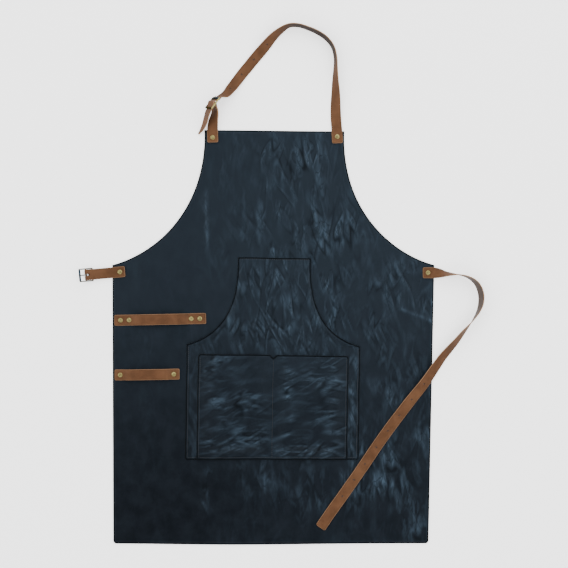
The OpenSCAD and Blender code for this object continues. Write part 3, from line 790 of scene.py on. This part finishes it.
def body_relief(x, y):
    """Height of the body's wrinkles above the flat, and its painted highlight and painted shade."""
    spots = near(x, y, BODY_SPOTS)
    drift = 30 * gradient_noise(x / 60, y / 60, 16)
    right = 0.10 + 0.90 * smooth(x + drift, -170, 40)
    low = 1 - 0.75 * smooth(-y, 350, 430) * smooth(150 - x, 0, 60)
    cluster = smooth(gradient_noise(x / 70, y / 90, 15), -0.4, 0.5)
    crease_and_sheen = np.clip(right * low * (0.12 + 0.40 * cluster) + 0.7 * spots, 0, 1)
    wrinkle, light, dark = crumple(x, y, *BODY_CREASES)
    slow = 0.5 + 0.5 * gradient_noise(x / 95, y / 140, 14)
    # A long fold at the left, a slanting crease under the right strap, and a dimple low at the left
    fold = np.exp(-((x + 124 + 0.02 * (y - 80)) / 2.6) ** 2)
    fold = fold * smooth(y, 20, 60) * smooth(-y, -150, -110)
    slant = np.exp(-((0.37 * (x - 268) + 0.93 * (y + 94)) / 3.0) ** 2) * smooth(x, 225, 250)
    dimple = np.exp(-(np.hypot(x + 128, y + 413) / 7) ** 2)
    rise = 0.3 + 0.75 * wrinkle * crease_and_sheen + 0.5 * slow + 0.7 * fold + 0.5 * slant - 0.9 * dimple
    # Painted highlight on the fold and the slanting crease, and painted shade in the dimple
    light = np.clip(light * crease_and_sheen + 0.35 * fold + 0.4 * slant, 0, 1)
    dark = np.clip(dark * np.minimum(1, 1.5 * crease_and_sheen) + dimple, 0, 1)
    return np.clip(rise, 0.05, 2.2), light, dark


def quiet(x, y):
    """1 where the body lies free, and near 0 where something is sewn, riveted or laid on it."""
    still = smooth(np.abs(x), 167, 190) + smooth(y, 16, 32) + smooth(-y, 366, 384)
    still = np.clip(still, 0, 1)
    under_strap = distance_to_line(x, y, np.array([(300, -190), (234, -281), (87, -490)]))
    still *= 0.12 + 0.88 * smooth(under_strap, 12, 30)
    # The long waist strap sweeps over the corner to its right
    swept = smooth(0.826 * (x - 170) + 0.563 * (y + 371), -20, 10) * smooth(-y, 150, 190)
    still *= 1 - 0.8 * swept
    for loop in (UPPER_LOOP, LOWER_LOOP):
        places = np.array(loop_places(loop, (0,)))
        still *= smooth(distance_to_line(x, y, places), 11, 26)
    still *= 1 - smooth(y, 212, 226)
    for strap in ("waist_left", "waist_right"):
        cx, cy = STRAP_RIVETS[strap][0]
        still *= smooth(np.hypot(x - cx, y - cy), 24, 50)
    return still


def body_top(x, y):
    """Height of the body's face: its wrinkles die away where it is held down."""
    rise = body_relief(x, y)[0]
    return LEATHER_T + LEAST_AIR + (rise - LEAST_AIR) * quiet(x, y)


def edge_bow(x, y):
    """The hem sags a little between its corners, and the bib's edge falls a little to the right."""
    hem = -2.6 * np.exp(-((x + 70) / 170) ** 2) * smooth(-y, SKIRT_H - 60, SKIRT_H)
    return hem - 2.2 * smooth(x, -BIB_W / 2, BIB_W / 2) * smooth(y, BIB_H - 90, BIB_H)


def make_body():
    y, left, right = body_rows()
    right = right + BIB_LEAN * smooth(y, 90, BIB_H)
    left = left - SKIRT_OUT * smooth(60 - y, 0, 60)
    x, y = grid_between(y, left, right, int(BODY_W / GRID))
    outline = rim_of(x, y)
    edge = distance_to_line(x, y, outline[::2])
    top = body_top(x, y)
    under = top - LEATHER_T
    # The back is dished round each rivet's disc, and the face is flat under each cap
    for place in RIVETS:
        d = np.hypot(x - place[0], y - place[1])
        under = np.maximum(under, 0.75 * smooth(-d, -7.5, -4.6))
        top = np.where(d < 3.0, np.minimum(top, LEATHER_T), top)
    body = leather_panel("apron_body_leather", x, y + edge_bow(x, y), top, under, edge, NAVY)
    add_painted_sheen_and_shade(body, *body_relief(x, y)[1:])
    settle(body, "root", "apron_body")


# ---------------------------------------------------------------- pockets
POCKET_T = 1.2
SEAM = 5.0
KANGAROO_HALF = 162.0
KANGAROO_TOP = 13.0
KANGAROO_SIDE = -150.5
POCKET_FOOT = -363.5
POCKET_CORNER_R = 4.0
MOUTH = [(68, KANGAROO_TOP), (65, -65), (87, -130.5), (KANGAROO_HALF, KANGAROO_SIDE)]
KANGAROO_BULGE = 2.2
KANGAROO_ROWS = 96
KANGAROO_COLUMNS = 148
DOUBLE_HALF = 140.5
DOUBLE_TOP = -168.0
DOUBLE_BULGE = 2.2
DOUBLE_ROWS = 98
DOUBLE_COLUMNS = 141
DOUBLE_CORNER_R = 5.0
NOTCH_HALF = 6.0
NOTCH_DEEP = 6.5
POCKET_TURN = 0.013
POCKET_TURN_Y = -95.0
EDGE_WANDER = 0.8
WANDER_LONG = 75.0

# Creased places of the pockets, where their painted highlight and shade are strongest too: (x, y,
# radius across, radius along, strength)
KANGAROO_SPOTS = [(152, -250, 8, 100, 1.0), (0, -60, 90, 70, 0.38), (-60, -120, 60, 30, 0.3),
                  (45, -135, 60, 40, 0.4)]
DOUBLE_SPOTS = [
    (-105, -190, 26, 22, 1.0), (-70, -255, 50, 26, 0.8), (-50, -320, 45, 26, 0.75),
    (30, -250, 9, 90, 0.9), (100, -215, 36, 36, 0.95), (105, -300, 34, 40, 0.8),
    (60, -345, 60, 16, 0.7), (-115, -330, 20, 30, 0.5),
]
MOUTH_LINE = even_bezier(MOUTH, 2.4)


def hand_cut(x, y):
    """Places on the pockets moved a little: they sit slightly turned and their edges wander."""
    turn = POCKET_TURN * smooth(y, POCKET_FOOT, DOUBLE_TOP)
    x, y = x + POCKET_TURN * (y - POCKET_TURN_Y), y - turn * x
    across = gradient_noise(y / WANDER_LONG, 0 * y, 61)
    along = gradient_noise(x / WANDER_LONG, 0 * x, 62)
    return x + EDGE_WANDER * across, y + EDGE_WANDER * along


def pocket_panel(name, x, y, under, face):
    edge = distance_to_line(x, y, rim_of(x, y))
    return leather_panel(name, *hand_cut(x, y), under + POCKET_T, under, edge, face)


def pocket_creases_and_sheen(x, y, crease_and_sheen, creases):
    """Height of a pocket's creases, and its painted highlight and painted shade."""
    wrinkle, light, dark = crumple(x, y, *creases)
    return wrinkle * crease_and_sheen, light * crease_and_sheen, dark * np.minimum(1, 1.5 * crease_and_sheen)


def kangaroo_creases_and_sheen(x, y):
    crease_and_sheen = np.clip(0.22 + near(x, y, KANGAROO_SPOTS), 0, 1)
    return pocket_creases_and_sheen(x, y, crease_and_sheen, KANGAROO_CREASES)


def kangaroo_under(x, y):
    """Underside of the kangaroo pocket: sewn down at its top, sides and foot, open at its mouths."""
    mouth = np.minimum(distance_to_line(x, y, MOUTH_LINE), distance_to_line(-x, y, MOUTH_LINE))
    top = smooth(KANGAROO_TOP - y, SEAM, SEAM + 30)
    foot = smooth(y - POCKET_FOOT, SEAM, SEAM + 26)
    lower = smooth(KANGAROO_SIDE - y, -2, 10)
    side = smooth(KANGAROO_HALF - np.abs(x), SEAM, SEAM + 40)
    puff = np.minimum(np.minimum(top, foot), np.where(y > KANGAROO_SIDE, 1, side))
    puff = puff * (1 - lower) + np.minimum(puff, side) * lower
    bulge = KANGAROO_BULGE * (0.86 + 0.14 * gradient_noise(x / 60, y / 60, 21))
    wrinkle = kangaroo_creases_and_sheen(x, y)[0]
    dropped = smooth(-mouth, -9, 0) * smooth(y, KANGAROO_SIDE + 4, KANGAROO_SIDE + 30)
    return LEATHER_T + LEAST_AIR + puff * (bulge - 1.1 * dropped + 0.8 * wrinkle)


def kangaroo_top(x, y):
    return kangaroo_under(x, y) + POCKET_T


def make_kangaroo():
    straight = np.linspace(KANGAROO_SIDE, POCKET_FOOT + POCKET_CORNER_R, KANGAROO_ROWS)[1:]
    y = np.r_[MOUTH_LINE[:, 1], straight, corner_rows(POCKET_FOOT, POCKET_CORNER_R, 4)]
    half = np.r_[MOUTH_LINE[:, 0], np.full(len(y) - len(MOUTH_LINE), KANGAROO_HALF)]
    half = half - drawn_in(y - POCKET_FOOT, POCKET_CORNER_R)
    x, y = grid_between(y, -half, half, KANGAROO_COLUMNS)
    pocket = pocket_panel("kangaroo_pocket_leather", x, y, kangaroo_under(x, y), NAVY_POCKET)
    add_painted_sheen_and_shade(pocket, *kangaroo_creases_and_sheen(x, y)[1:])
    settle(pocket, "root", "kangaroo_pocket")


def double_creases_and_sheen(x, y):
    crease_and_sheen = np.clip(0.12 + 0.88 * near(x, y, DOUBLE_SPOTS), 0, 1)
    return pocket_creases_and_sheen(x, y, crease_and_sheen, DOUBLE_CREASES)


def double_under(x, y):
    """Underside of the double pocket: sewn at its sides, foot and middle, open at its top."""
    side = smooth(DOUBLE_HALF - np.abs(x), SEAM - 1, SEAM + 34)
    middle = smooth(np.abs(x), 1.5, 30)
    foot = smooth(y - POCKET_FOOT, SEAM, SEAM + 26)
    puff = np.minimum(side, middle) * foot
    wrinkle = double_creases_and_sheen(x, y)[0]
    lip = 0.6 * smooth(y, DOUBLE_TOP - 14, DOUBLE_TOP)
    bulge = DOUBLE_BULGE * (0.88 + 0.12 * gradient_noise(x / 48, y / 48, 33)) - lip
    return kangaroo_top(x, y) + 0.05 + puff * (bulge + 0.9 * wrinkle)


def double_top_line(x):
    """Top edge of the double pocket, with rounded ends and the notch over its centre seam."""
    notch = NOTCH_DEEP * np.clip(1 - np.abs(x) / NOTCH_HALF, 0, 1)
    return DOUBLE_TOP - drawn_in(DOUBLE_HALF - np.abs(x), DOUBLE_CORNER_R) - notch


def make_double():
    columns = np.linspace(-DOUBLE_HALF, DOUBLE_HALF, DOUBLE_COLUMNS)
    share = np.linspace(0, 1, DOUBLE_ROWS)[:, None]
    x = np.repeat(columns[None, :], len(share), 0)
    y = double_top_line(columns) * (1 - share) + POCKET_FOOT * share
    pocket = pocket_panel("double_pocket_leather", x, y, double_under(x, y), NAVY_DOUBLE)
    add_painted_sheen_and_shade(pocket, *double_creases_and_sheen(x, y)[1:])
    settle(pocket, "root", "front_pocket")


# ---------------------------------------------------------------- stitching
STITCH_PITCH = 3.7
STITCH_LONG = 2.7
STITCH_HALF = (0.36, 0.3)
STITCH_IN = 4.0


def stitch_line(pile, points, height):
    """Single stitches along a line in plan, lying in a surface given by height(x, y)."""
    line = np.array(points, float)
    run = np.r_[0, np.cumsum(np.linalg.norm(np.diff(line, axis=0), axis=1))]
    count = int(run[-1] // STITCH_PITCH)
    start = (run[-1] - (count - 1) * STITCH_PITCH - STITCH_LONG) / 2
    shares = np.array([0.0, 0.12, 0.35, 0.65, 0.88, 1.0])
    plump = np.array([0.35, 0.8, 1.0, 1.0, 0.8, 0.35])
    sunk = np.array([-0.35, -0.05, 0.12, 0.12, -0.05, -0.35])
    at = start + np.arange(count)[:, None] * STITCH_PITCH + shares * STITCH_LONG
    x, y = np.interp(at, run, line[:, 0]), np.interp(at, run, line[:, 1])
    z = height(x, y) + sunk
    x, y = hand_cut(x, y)
    for k in range(count):
        path = np.c_[x[k], y[k], z[k]]
        sizes = [(STITCH_HALF[0] * p, STITCH_HALF[1] * p) for p in plump]
        pile.sweep(path, sizes, (0, 0, 1), sides=8)


def make_stitching():
    """The seams of both pockets, stitch by stitch."""
    side = KANGAROO_HALF - STITCH_IN
    foot = POCKET_FOOT + STITCH_IN
    kangaroo = Pile()
    for s in (-1, 1):
        stitch_line(kangaroo, [(s * side, KANGAROO_SIDE - 3), (s * side, foot)], kangaroo_top)
        stitch_line(kangaroo, [(s * side, foot), (s * (DOUBLE_HALF + 1), foot)], kangaroo_top)
    stitch_line(kangaroo, [(-65, KANGAROO_TOP - 2.5), (65, KANGAROO_TOP - 2.5)], kangaroo_top)
    front = Pile()
    side = DOUBLE_HALF - STITCH_IN

    def top(x, y):
        return double_under(x, y) + POCKET_T

    for x in (-side, side):
        stitch_line(front, [(x, DOUBLE_TOP - 6), (x, foot)], top)
    stitch_line(front, [(0, DOUBLE_TOP - NOTCH_DEEP - 3), (0, foot)], top)
    stitch_line(front, [(-side, foot), (side, foot)], top)
    for pile, name, node in (
        (kangaroo, "kangaroo_stitches", "kangaroo_pocket_thread"),
        (front, "double_pocket_stitches", "front_pocket_thread"),
    ):
        settle(pile.object(name, [THREAD]), "root", node)


# ---------------------------------------------------------------- straps
STRAP_W = 20.0
STRAP_T = 1.8
LAYER_T = 1.4
HOLE_R = 1.6
WEB_T = 0.3
POST_R = 1.7
RING_STEP = 1.5
TURN_GAP = 0.3
LOOP_RISE = 4.6
BAR_REACH = 12.0
BAR_D = 2.4
BAR_PLAY = 0.1
ROLLER_R = 1.9
FOLD_R = BAR_D / 2 + BAR_PLAY + LAYER_T
FOLD_MIDDLE_R = BAR_D / 2 + BAR_PLAY + LAYER_T / 2
WAIST_BAR = (63, 0, 6)


def route(rows, thick):
    """Centres, ways across and widths from rows of [x, y, height of the lower edge, tilt, width]."""
    rows = np.array(rows, float)
    way = unit(np.gradient(rows[:, :2], axis=0))
    a = np.radians(rows[:, 3])
    z = rows[:, 2] + rows[:, 4] / 2 * np.abs(np.sin(a)) + thick / 2 * np.abs(np.cos(a))
    across = np.c_[way[:, 1] * np.cos(a), -way[:, 0] * np.cos(a), np.sin(a)]
    return np.c_[rows[:, :2], z], across, rows[:, 4]


def arc(cx, cz, r, a0, a1, steps):
    """Points (x, z) on an arc."""
    a = np.radians(np.linspace(a0, a1, steps + 1))
    return [(cx + r * math.cos(t), cz + r * math.sin(t)) for t in a]


IN_WAIST_STRAP = Matrix.Translation((*STRAP_RIVETS["waist_left"][0], 0)) @ turned("Z", 185.2)
IN_WAIST_FOLD = IN_WAIST_STRAP @ Matrix.Translation(WAIST_BAR) @ turned("Z", 180)
IN_WAIST_BUCKLE = IN_WAIST_FOLD @ turned("Y", 22)
IN_NECK_BUCKLE = (
    Matrix.Translation((-113.5, 301, 14.8)) @ turned("Z", -125) @ turned("Y", -14) @ turned("X", 58)
)
IN_NECK_DROP = IN_NECK_BUCKLE @ turned("Y", 65)

# Routes of the straps: (x, y, tilt), (x, y, height of the lower edge, tilt), or those and the width
WAIST_ROUTE = [
    (278.5, -14.5, 0), (288, -14.5, 0), (300, -14.7, 8), (310, -15.3, 34), (319, -16.3, 58),
    (332, -17, 78), (346, -18.3, 90), (362, -22.8, 98), (376, -32.5, 108), (384, -46.5, 114),
    (386.5, -59, 114), (385.5, -73, 110), (381, -86, 101), (371.5, -102, 88), (352.5, -126, 64),
    (340, -142, 53), (327, -157, 44), (314, -172.5, 37), (302, -190, 30), (280, -222, 20),
    (257, -251, 9), (234.5, -280.5, 3), (212.5, -310, 0), (191, -340.5, 0), (170.5, -371, 0),
    (149.5, -401.5, 0), (128, -432, 0), (106.5, -462, 0), (87, -490.5, 0),
]
WAIST_HOLES = WAIST_ROUTE[19:27]
NECK_ROUTE = [
    (119, 227.5, 1.4, 0), (118.5, 239.5, 1.4, 0), (118.2, 245, 1.4, 0), (118, 250, 1.4, 0),
    (117, 262, 1.3, 4), (116, 275, 0.6, 10), (115.5, 291, 0.4, 20), (115.5, 306.5, 0.3, 30),
    (115.5, 322.5, 0.3, 42), (115, 338.5, 0.3, 54), (115, 354, 0.3, 64), (115.3, 370, 0.3, 72),
    (115, 386, 0.3, 76), (109.5, 407, 0.3, 78), (96.5, 423, 0.3, 77), (80.5, 433.5, 0.3, 78),
    (63, 441, 0.3, 80), (46, 446, 0.3, 81), (30, 446, 0.3, 78), (13, 436.5, 0.3, 62),
    (-1, 424.5, 0.3, 46), (-12, 412, 0.3, 30), (-24, 398.5, 0.3, 13), (-37, 383.5, 0.3, 3),
    (-48, 370, 0.3, 0), (-59.5, 356, 0.3, -2), (-70, 342, 0.4, -9), (-81, 328, 0.9, -21),
    (-91, 316.5, 2.4, -40),
]
NECK_HOLES = [(13, 436.5), (-12, 412), (-37, 383.5), (-59.5, 356), (-81, 328)]
NECK_TAIL = [
    (-124.5, 277, 5.5, -60, 20), (-127, 268, 3.5, -59, 19), (-130, 260, 1.8, -57, 16),
    (-135, 251, 0.8, -54, 10), (-140.5, 244, 0.5, -50, 2.5),
]
NECK_SHORT_ROUTE = [
    (-113.8, 229, 1.4, 0, 20), (-114, 238, 1.4, 0, 20), (-114.2, 246, 1.4, 0, 20),
    (-114.2, 252, 1.4, 0, 20), (-113.4, 262, 1.2, 18, 20), (-111.8, 272, 0.8, 35, 20),
    (-109.8, 280, 0.7, 46, 20),
]


def across_in(matrix, count, sense=-1.0):
    """The Y axis of a matrix, or its opposite, once for each of count rings."""
    return np.tile(np.array(matrix)[:3, :3] @ np.array([0.0, sense, 0.0]), (count, 1))


def strap_piece(strap, body, node, length):
    """Puts a strap on its body in place of its CAD node."""
    settle(strap, body, node)


def make_waist_long():
    rows = [(x, y, LEATHER_T + TURN_GAP, tilt, STRAP_W) for x, y, tilt in WAIST_ROUTE]
    ribbon = Ribbon(*route(rows, STRAP_T)).even(RING_STEP)
    strap = strap_object("waist_strap_long_leather", ribbon, STRAP_T, (2.0, 2.5))
    holes = Pile()
    for x, y, _ in WAIST_HOLES:
        pricked_hole(holes, *ribbon.nearest(x, y))
    peg(holes, *ribbon.nearest(*STRAP_RIVETS["waist_right"][0]), POST_R)
    cut(strap, holes)
    strap_piece(strap, "waist_long_strap", "waist_strap_long", ribbon.run()[-1])


def buckle_ribbon():
    """The long neck strap's way through its buckle: under the roller, over the fold, under the heel."""
    under_roller = ROLLER_R + 0.15 + STRAP_T / 2
    over_fold = FOLD_R + BAR_PLAY + STRAP_T / 2
    under_heel = BAR_D / 2 + 0.25 + STRAP_T / 2
    climb = math.degrees(math.asin((under_roller + over_fold) / BAR_REACH))
    fall = math.degrees(math.asin((over_fold + under_heel) / BAR_REACH))
    line = [(-BAR_REACH - 4.5, -under_roller - 0.35)]
    line += arc(-BAR_REACH, 0, under_roller, -98, -90 + climb, 4)
    line += arc(0, 0, over_fold, 90 + climb, 90 - fall, 8)
    line += arc(BAR_REACH, 0, under_heel, -90 - fall, -80, 4)
    return moved(IN_NECK_BUCKLE, [(x, 0, z) for x, z in line])


def make_neck_long():
    c, s, w = route([(*row, STRAP_W) for row in NECK_ROUTE], STRAP_T)
    through = buckle_ribbon()
    tail_c, tail_s, tail_w = route(NECK_TAIL, STRAP_T)
    centres = np.concatenate([c, through, tail_c])
    across = np.concatenate([s, across_in(IN_NECK_BUCKLE, len(through)), tail_s])
    widths = np.concatenate([w, np.full(len(through), STRAP_W), tail_w])
    ribbon = Ribbon(centres, across, widths).even(RING_STEP)
    # Painted shade on the steep crest of the strap over the neck
    shaded_crest = smooth(ribbon.c[:, 0], -10, 50) * smooth(ribbon.c[:, 1], 350, 405)
    strap = strap_object("neck_strap_long_leather", ribbon, STRAP_T, (2.0, 0.0), shaded_crest)
    holes = Pile()
    for x, y in NECK_HOLES:
        pricked_hole(holes, *ribbon.nearest(x, y))
    peg(holes, *ribbon.nearest(*STRAP_RIVETS["neck_right"][0]), POST_R)
    low, high = moved(IN_NECK_BUCKLE, [PRONG_ROOT, (PRONG_TIP[0] * 0.78, 0, PRONG_TIP[2] * 0.86)])
    holes.bar(low, high, (1.5, 1.5), (0.3, 0.2, 0.9), mark=1)
    cut(strap, holes)
    strap_piece(strap, "root", "neck_strap_long", ribbon.run()[-1])


def folded_strap(name, out, across, fold, rivet, at_fold):
    """A strap doubled round a buckle bar, with a slot for the prong in its fold.

    out is its middle line from the rivet to the bar, and fold the turn round the bar."""
    line = Ribbon(out, across, np.full(len(out), STRAP_W)).even(RING_STEP)
    apart = line.normals() * LAYER_T / 2
    centres = np.concatenate([line.c + apart, fold, (line.c - apart)[::-1]])
    across = np.concatenate([line.s, np.tile(line.s[-1], (len(fold), 1)), line.s[::-1]])
    ribbon = Ribbon(centres, across, np.full(len(centres), STRAP_W)).even(RING_STEP * 0.6)
    strap = strap_object(name, ribbon, LAYER_T - 0.04, (2.0, 2.0))
    holes = Pile()
    peg(holes, (*rivet, 3.0), (0, 0, 1), POST_R)
    half = (SLOT_W / 2, FOLD_R + 1)
    holes.bar((-FOLD_R - 1, 0, 0), (EYE_ROOM, 0, 0), half, power=6.0, matrix=at_fold, mark=2)
    cut(strap, holes)
    # The slot runs further in the upper layer, for the prong when it is thrown back
    upper_slot = Pile()
    half = (0.99 * SLOT_W / 2, (FOLD_R + 1) / 2)
    upper_slot.bar((0, 0, half[1]), (SLOT_END, 0, half[1]), half, power=6.0, matrix=at_fold, mark=2)
    cut(strap, upper_slot)
    return strap, ribbon.run()[-1]


def make_waist_short():
    lie = LEATHER_T + TURN_GAP + LAYER_T
    side = [(-9.3, lie), (0, lie), (7, lie), (14, lie + 0.1), (30, lie + 0.9), (45, lie + 1.8),
            (54, 5.4)]
    out = moved(IN_WAIST_STRAP, [(d, 0, z) for d, z in side])
    turn = arc(WAIST_BAR[0], WAIST_BAR[2], FOLD_MIDDLE_R, 95, -95, 12)
    fold = moved(IN_WAIST_STRAP, [(d, 0, z) for d, z in turn])
    strap, length = folded_strap("waist_strap_short_leather", out, across_in(IN_WAIST_STRAP, len(out)),
                                 fold, STRAP_RIVETS["waist_left"][0], IN_WAIST_FOLD)
    strap_piece(strap, "waist_short_strap", "waist_strap_short", length)


def make_neck_short():
    c, s, _ = route(NECK_SHORT_ROUTE, 2 * LAYER_T)
    drops = moved(IN_NECK_DROP, [(12, 0, 0), (8.5, 0, 0)])
    out = np.concatenate([c, drops])
    across = np.concatenate([s, across_in(IN_NECK_DROP, len(drops), 1.0)])
    turn = arc(0, 0, FOLD_MIDDLE_R, 85, 275, 12)
    fold = moved(IN_NECK_DROP, [(x, 0, z) for x, z in turn])
    strap, length = folded_strap("neck_strap_short_leather", out, across, fold,
                                 STRAP_RIVETS["neck_left"][0], IN_NECK_DROP)
    strap_piece(strap, "root", "neck_strap_short", length)


def make_loop(name, node, loop):
    """A strip riveted at its ends, with its middle standing off the body."""
    flat = max(loop["rivets"]) + 5.5
    long = loop["length"]
    low = LEATHER_T + STRAP_T / 2 + 0.02
    high = low + LOOP_RISE
    start = [(0, low), (flat - 2, low), (flat + 2, low + 0.5), (flat + 7, high - 0.9),
             (flat + 12, high)]
    side = start + [(long / 2, high + 0.3)] + [(long - d, z) for d, z in start[::-1]]
    matrix = Matrix.Translation((*loop["start"], 0)) @ turned("Z", loop["turn"])
    centres = moved(matrix, [(d, 0, z) for d, z in side])
    across = across_in(matrix, len(side))
    ribbon = Ribbon(centres, across, np.full(len(side), STRAP_W)).even(RING_STEP)
    strap = strap_object(name, ribbon, STRAP_T, (1.5, 1.5))
    holes = Pile()
    for x, y in loop_places(loop):
        peg(holes, (x, y, low), (0, 0, 1), POST_R)
    cut(strap, holes)
    strap_piece(strap, "root", node, ribbon.run()[-1])


# ---------------------------------------------------------------- rivets and buckles
CAP_R = 4.4
CAP_H = 1.7
RIM_H = 0.62
BACK_R = 4.2
BACK_T = 0.6
RAIL_Y = 11.45
RAIL_HALF = (1.0, 1.4)
RAIL_OVER = 1.4
CROSS_BAR_R = 1.2
ROLLER_HALF = 10.2
PRONG_ROOT = (-1.2, 0.0, 1.25)
PRONG_TIP = (-14.2, 0.0, 3.5)
SLOT_W = 3.2
SLOT_END = 7.0
EYE_ROOM = 3.8


def cap_outline(seat):
    """Half section of a double-cap rivet's front: its post, the rolled rim and the dome."""
    shares = (0.93, 0.82, 0.66, 0.48, 0.3, 0.12)
    dome = [(r * CAP_R, RIM_H + (CAP_H - RIM_H) * (1 - r**2.4)) for r in shares]
    rim = [(CAP_R - 0.35, 0.0), (CAP_R - 0.06, 0.14), (CAP_R, 0.34), (CAP_R - 0.07, 0.52)]
    post = [(1.55, BACK_T - seat), (1.55, -0.02)]
    return [[(r, h + seat) for r, h in part] for part in (post + rim, rim[-1:] + dome)]


def make_rivets(name, places, cap_node, back_node):
    """Front caps with their posts, and the plain discs at the back."""
    caps, backs = Pile(), Pile()
    for place, seat in places:
        matrix = Matrix.Translation((*place, 0))
        # The post and rolled rim take the darker brass: painted shade round the edge of the dome
        for mark, part in enumerate(cap_outline(seat)):
            caps.lathe(part, matrix, 40, mark=mark)
        back = [(BACK_R - 0.3, 0.0), (BACK_R - 0.05, 0.12), (BACK_R, 0.3), (BACK_R - 0.1, BACK_T)]
        backs.lathe([(1.1, 0.28), (1.5, 0.02)] + back, matrix, 40)
    for pile, kind, node in ((caps, "caps", cap_node), (backs, "backs", back_node)):
        piece = pile.object(f"{name}_{kind}_metal", [DARK_BRASS, BRASS])
        settle(piece, "root", node)


def both_ends(outline):
    """An outline of one end of a lathed ring, with the same end mirrored before it."""
    return [(r, -h) for r, h in outline] + outline[::-1]


def make_buckle(place, matrix, frame_body, roller_body, prong_body, bright_rail=0):
    """A centre-bar roller buckle: cast frame, roller and prong.

    The last argument is 1 where one rail of the frame is in the lighter brass."""
    frame_pile, roller, prong = Pile(), Pile(), Pile()
    reach = BAR_REACH + RAIL_OVER
    for y, mark in ((-RAIL_Y, 0), (RAIL_Y, bright_rail)):
        frame_pile.bar((-reach, y, 0), (reach, y, 0), RAIL_HALF, power=3.2, matrix=matrix, mark=mark,
                       round_end=1.2)
    heel = BAR_D / 2 + BAR_PLAY
    for x, r in ((BAR_REACH, heel), (0, CROSS_BAR_R), (-BAR_REACH, CROSS_BAR_R)):
        frame_pile.bar((x, -RAIL_Y, 0), (x, RAIL_Y, 0), (r, r), matrix=matrix, sides=24)
    rim = [(1.3, ROLLER_HALF - 0.2), (1.5, ROLLER_HALF), (1.75, ROLLER_HALF - 0.03),
           (ROLLER_R, ROLLER_HALF - 0.25)]
    at_bar = matrix @ Matrix.Translation((-BAR_REACH, 0, 0)) @ turned("X", 90)
    roller.lathe(both_ends(rim), at_bar, 40, closed=True)
    eye = [(1.28, 0.8), (1.5, 1.08), (2.0, 1.08), (2.25, 0.8)]
    prong.lathe(both_ends(eye), matrix @ turned("X", 90), 32, closed=True)
    root, tip = np.array(PRONG_ROOT), np.array(PRONG_TIP)
    shares = np.array([0.0, 0.08, 0.3, 0.55, 0.8, 0.93, 0.985, 1.02, 1.04])
    path = root + shares[:, None] * (tip - root) + np.outer(0.35 * np.sin(shares * math.pi), (0, 0, 1))
    sizes = [(0.95, 0.9), (1.0, 0.95), (0.98, 0.92), (0.92, 0.88), (0.84, 0.78), (0.72, 0.62),
             (0.52, 0.44), (0.3, 0.26), (0.1, 0.1)]
    prong.sweep(path, sizes, (0, 0, 1), power=2.3, sides=20, matrix=matrix)
    for pile, kind, body, materials, slot in (
        (frame_pile, "frame", frame_body, [DARK_BRASS, BRASS], "antique_brass"),
        (roller, "roller", roller_body, [GUNMETAL], "gunmetal"),
        (prong, "prong", prong_body, [DARK_BRASS], "antique_brass"),
    ):
        piece = pile.object(f"{place}_buckle_{kind}_metal", materials)
        settle(piece, body, f"{place}_buckle_{kind}")


make_body()
make_kangaroo()
make_double()
make_stitching()
make_buckle("neck", IN_NECK_BUCKLE, "root", "neck_roller", "neck_prong", 1)
make_buckle("waist", IN_WAIST_BUCKLE, "waist_buckle", "waist_roller", "waist_prong")
make_waist_long()
make_neck_long()
make_waist_short()
make_neck_short()
make_loop("upper_tool_loop_leather", "upper_tool_loop", UPPER_LOOP)
make_loop("lower_tool_loop_leather", "lower_tool_loop", LOWER_LOOP)
for loop_name, loop in (("upper_loop", UPPER_LOOP), ("lower_loop", LOWER_LOOP)):
    make_rivets(f"{loop_name}_rivet", [(p, LOOP_SEAT) for p in loop_places(loop)],
                f"{loop_name}_rivet_caps", f"{loop_name}_rivet_backs")
for rivet_name, rivet in STRAP_RIVETS.items():
    make_rivets(f"{rivet_name}_rivet", [rivet], f"{rivet_name}_rivet_cap", f"{rivet_name}_rivet_back")
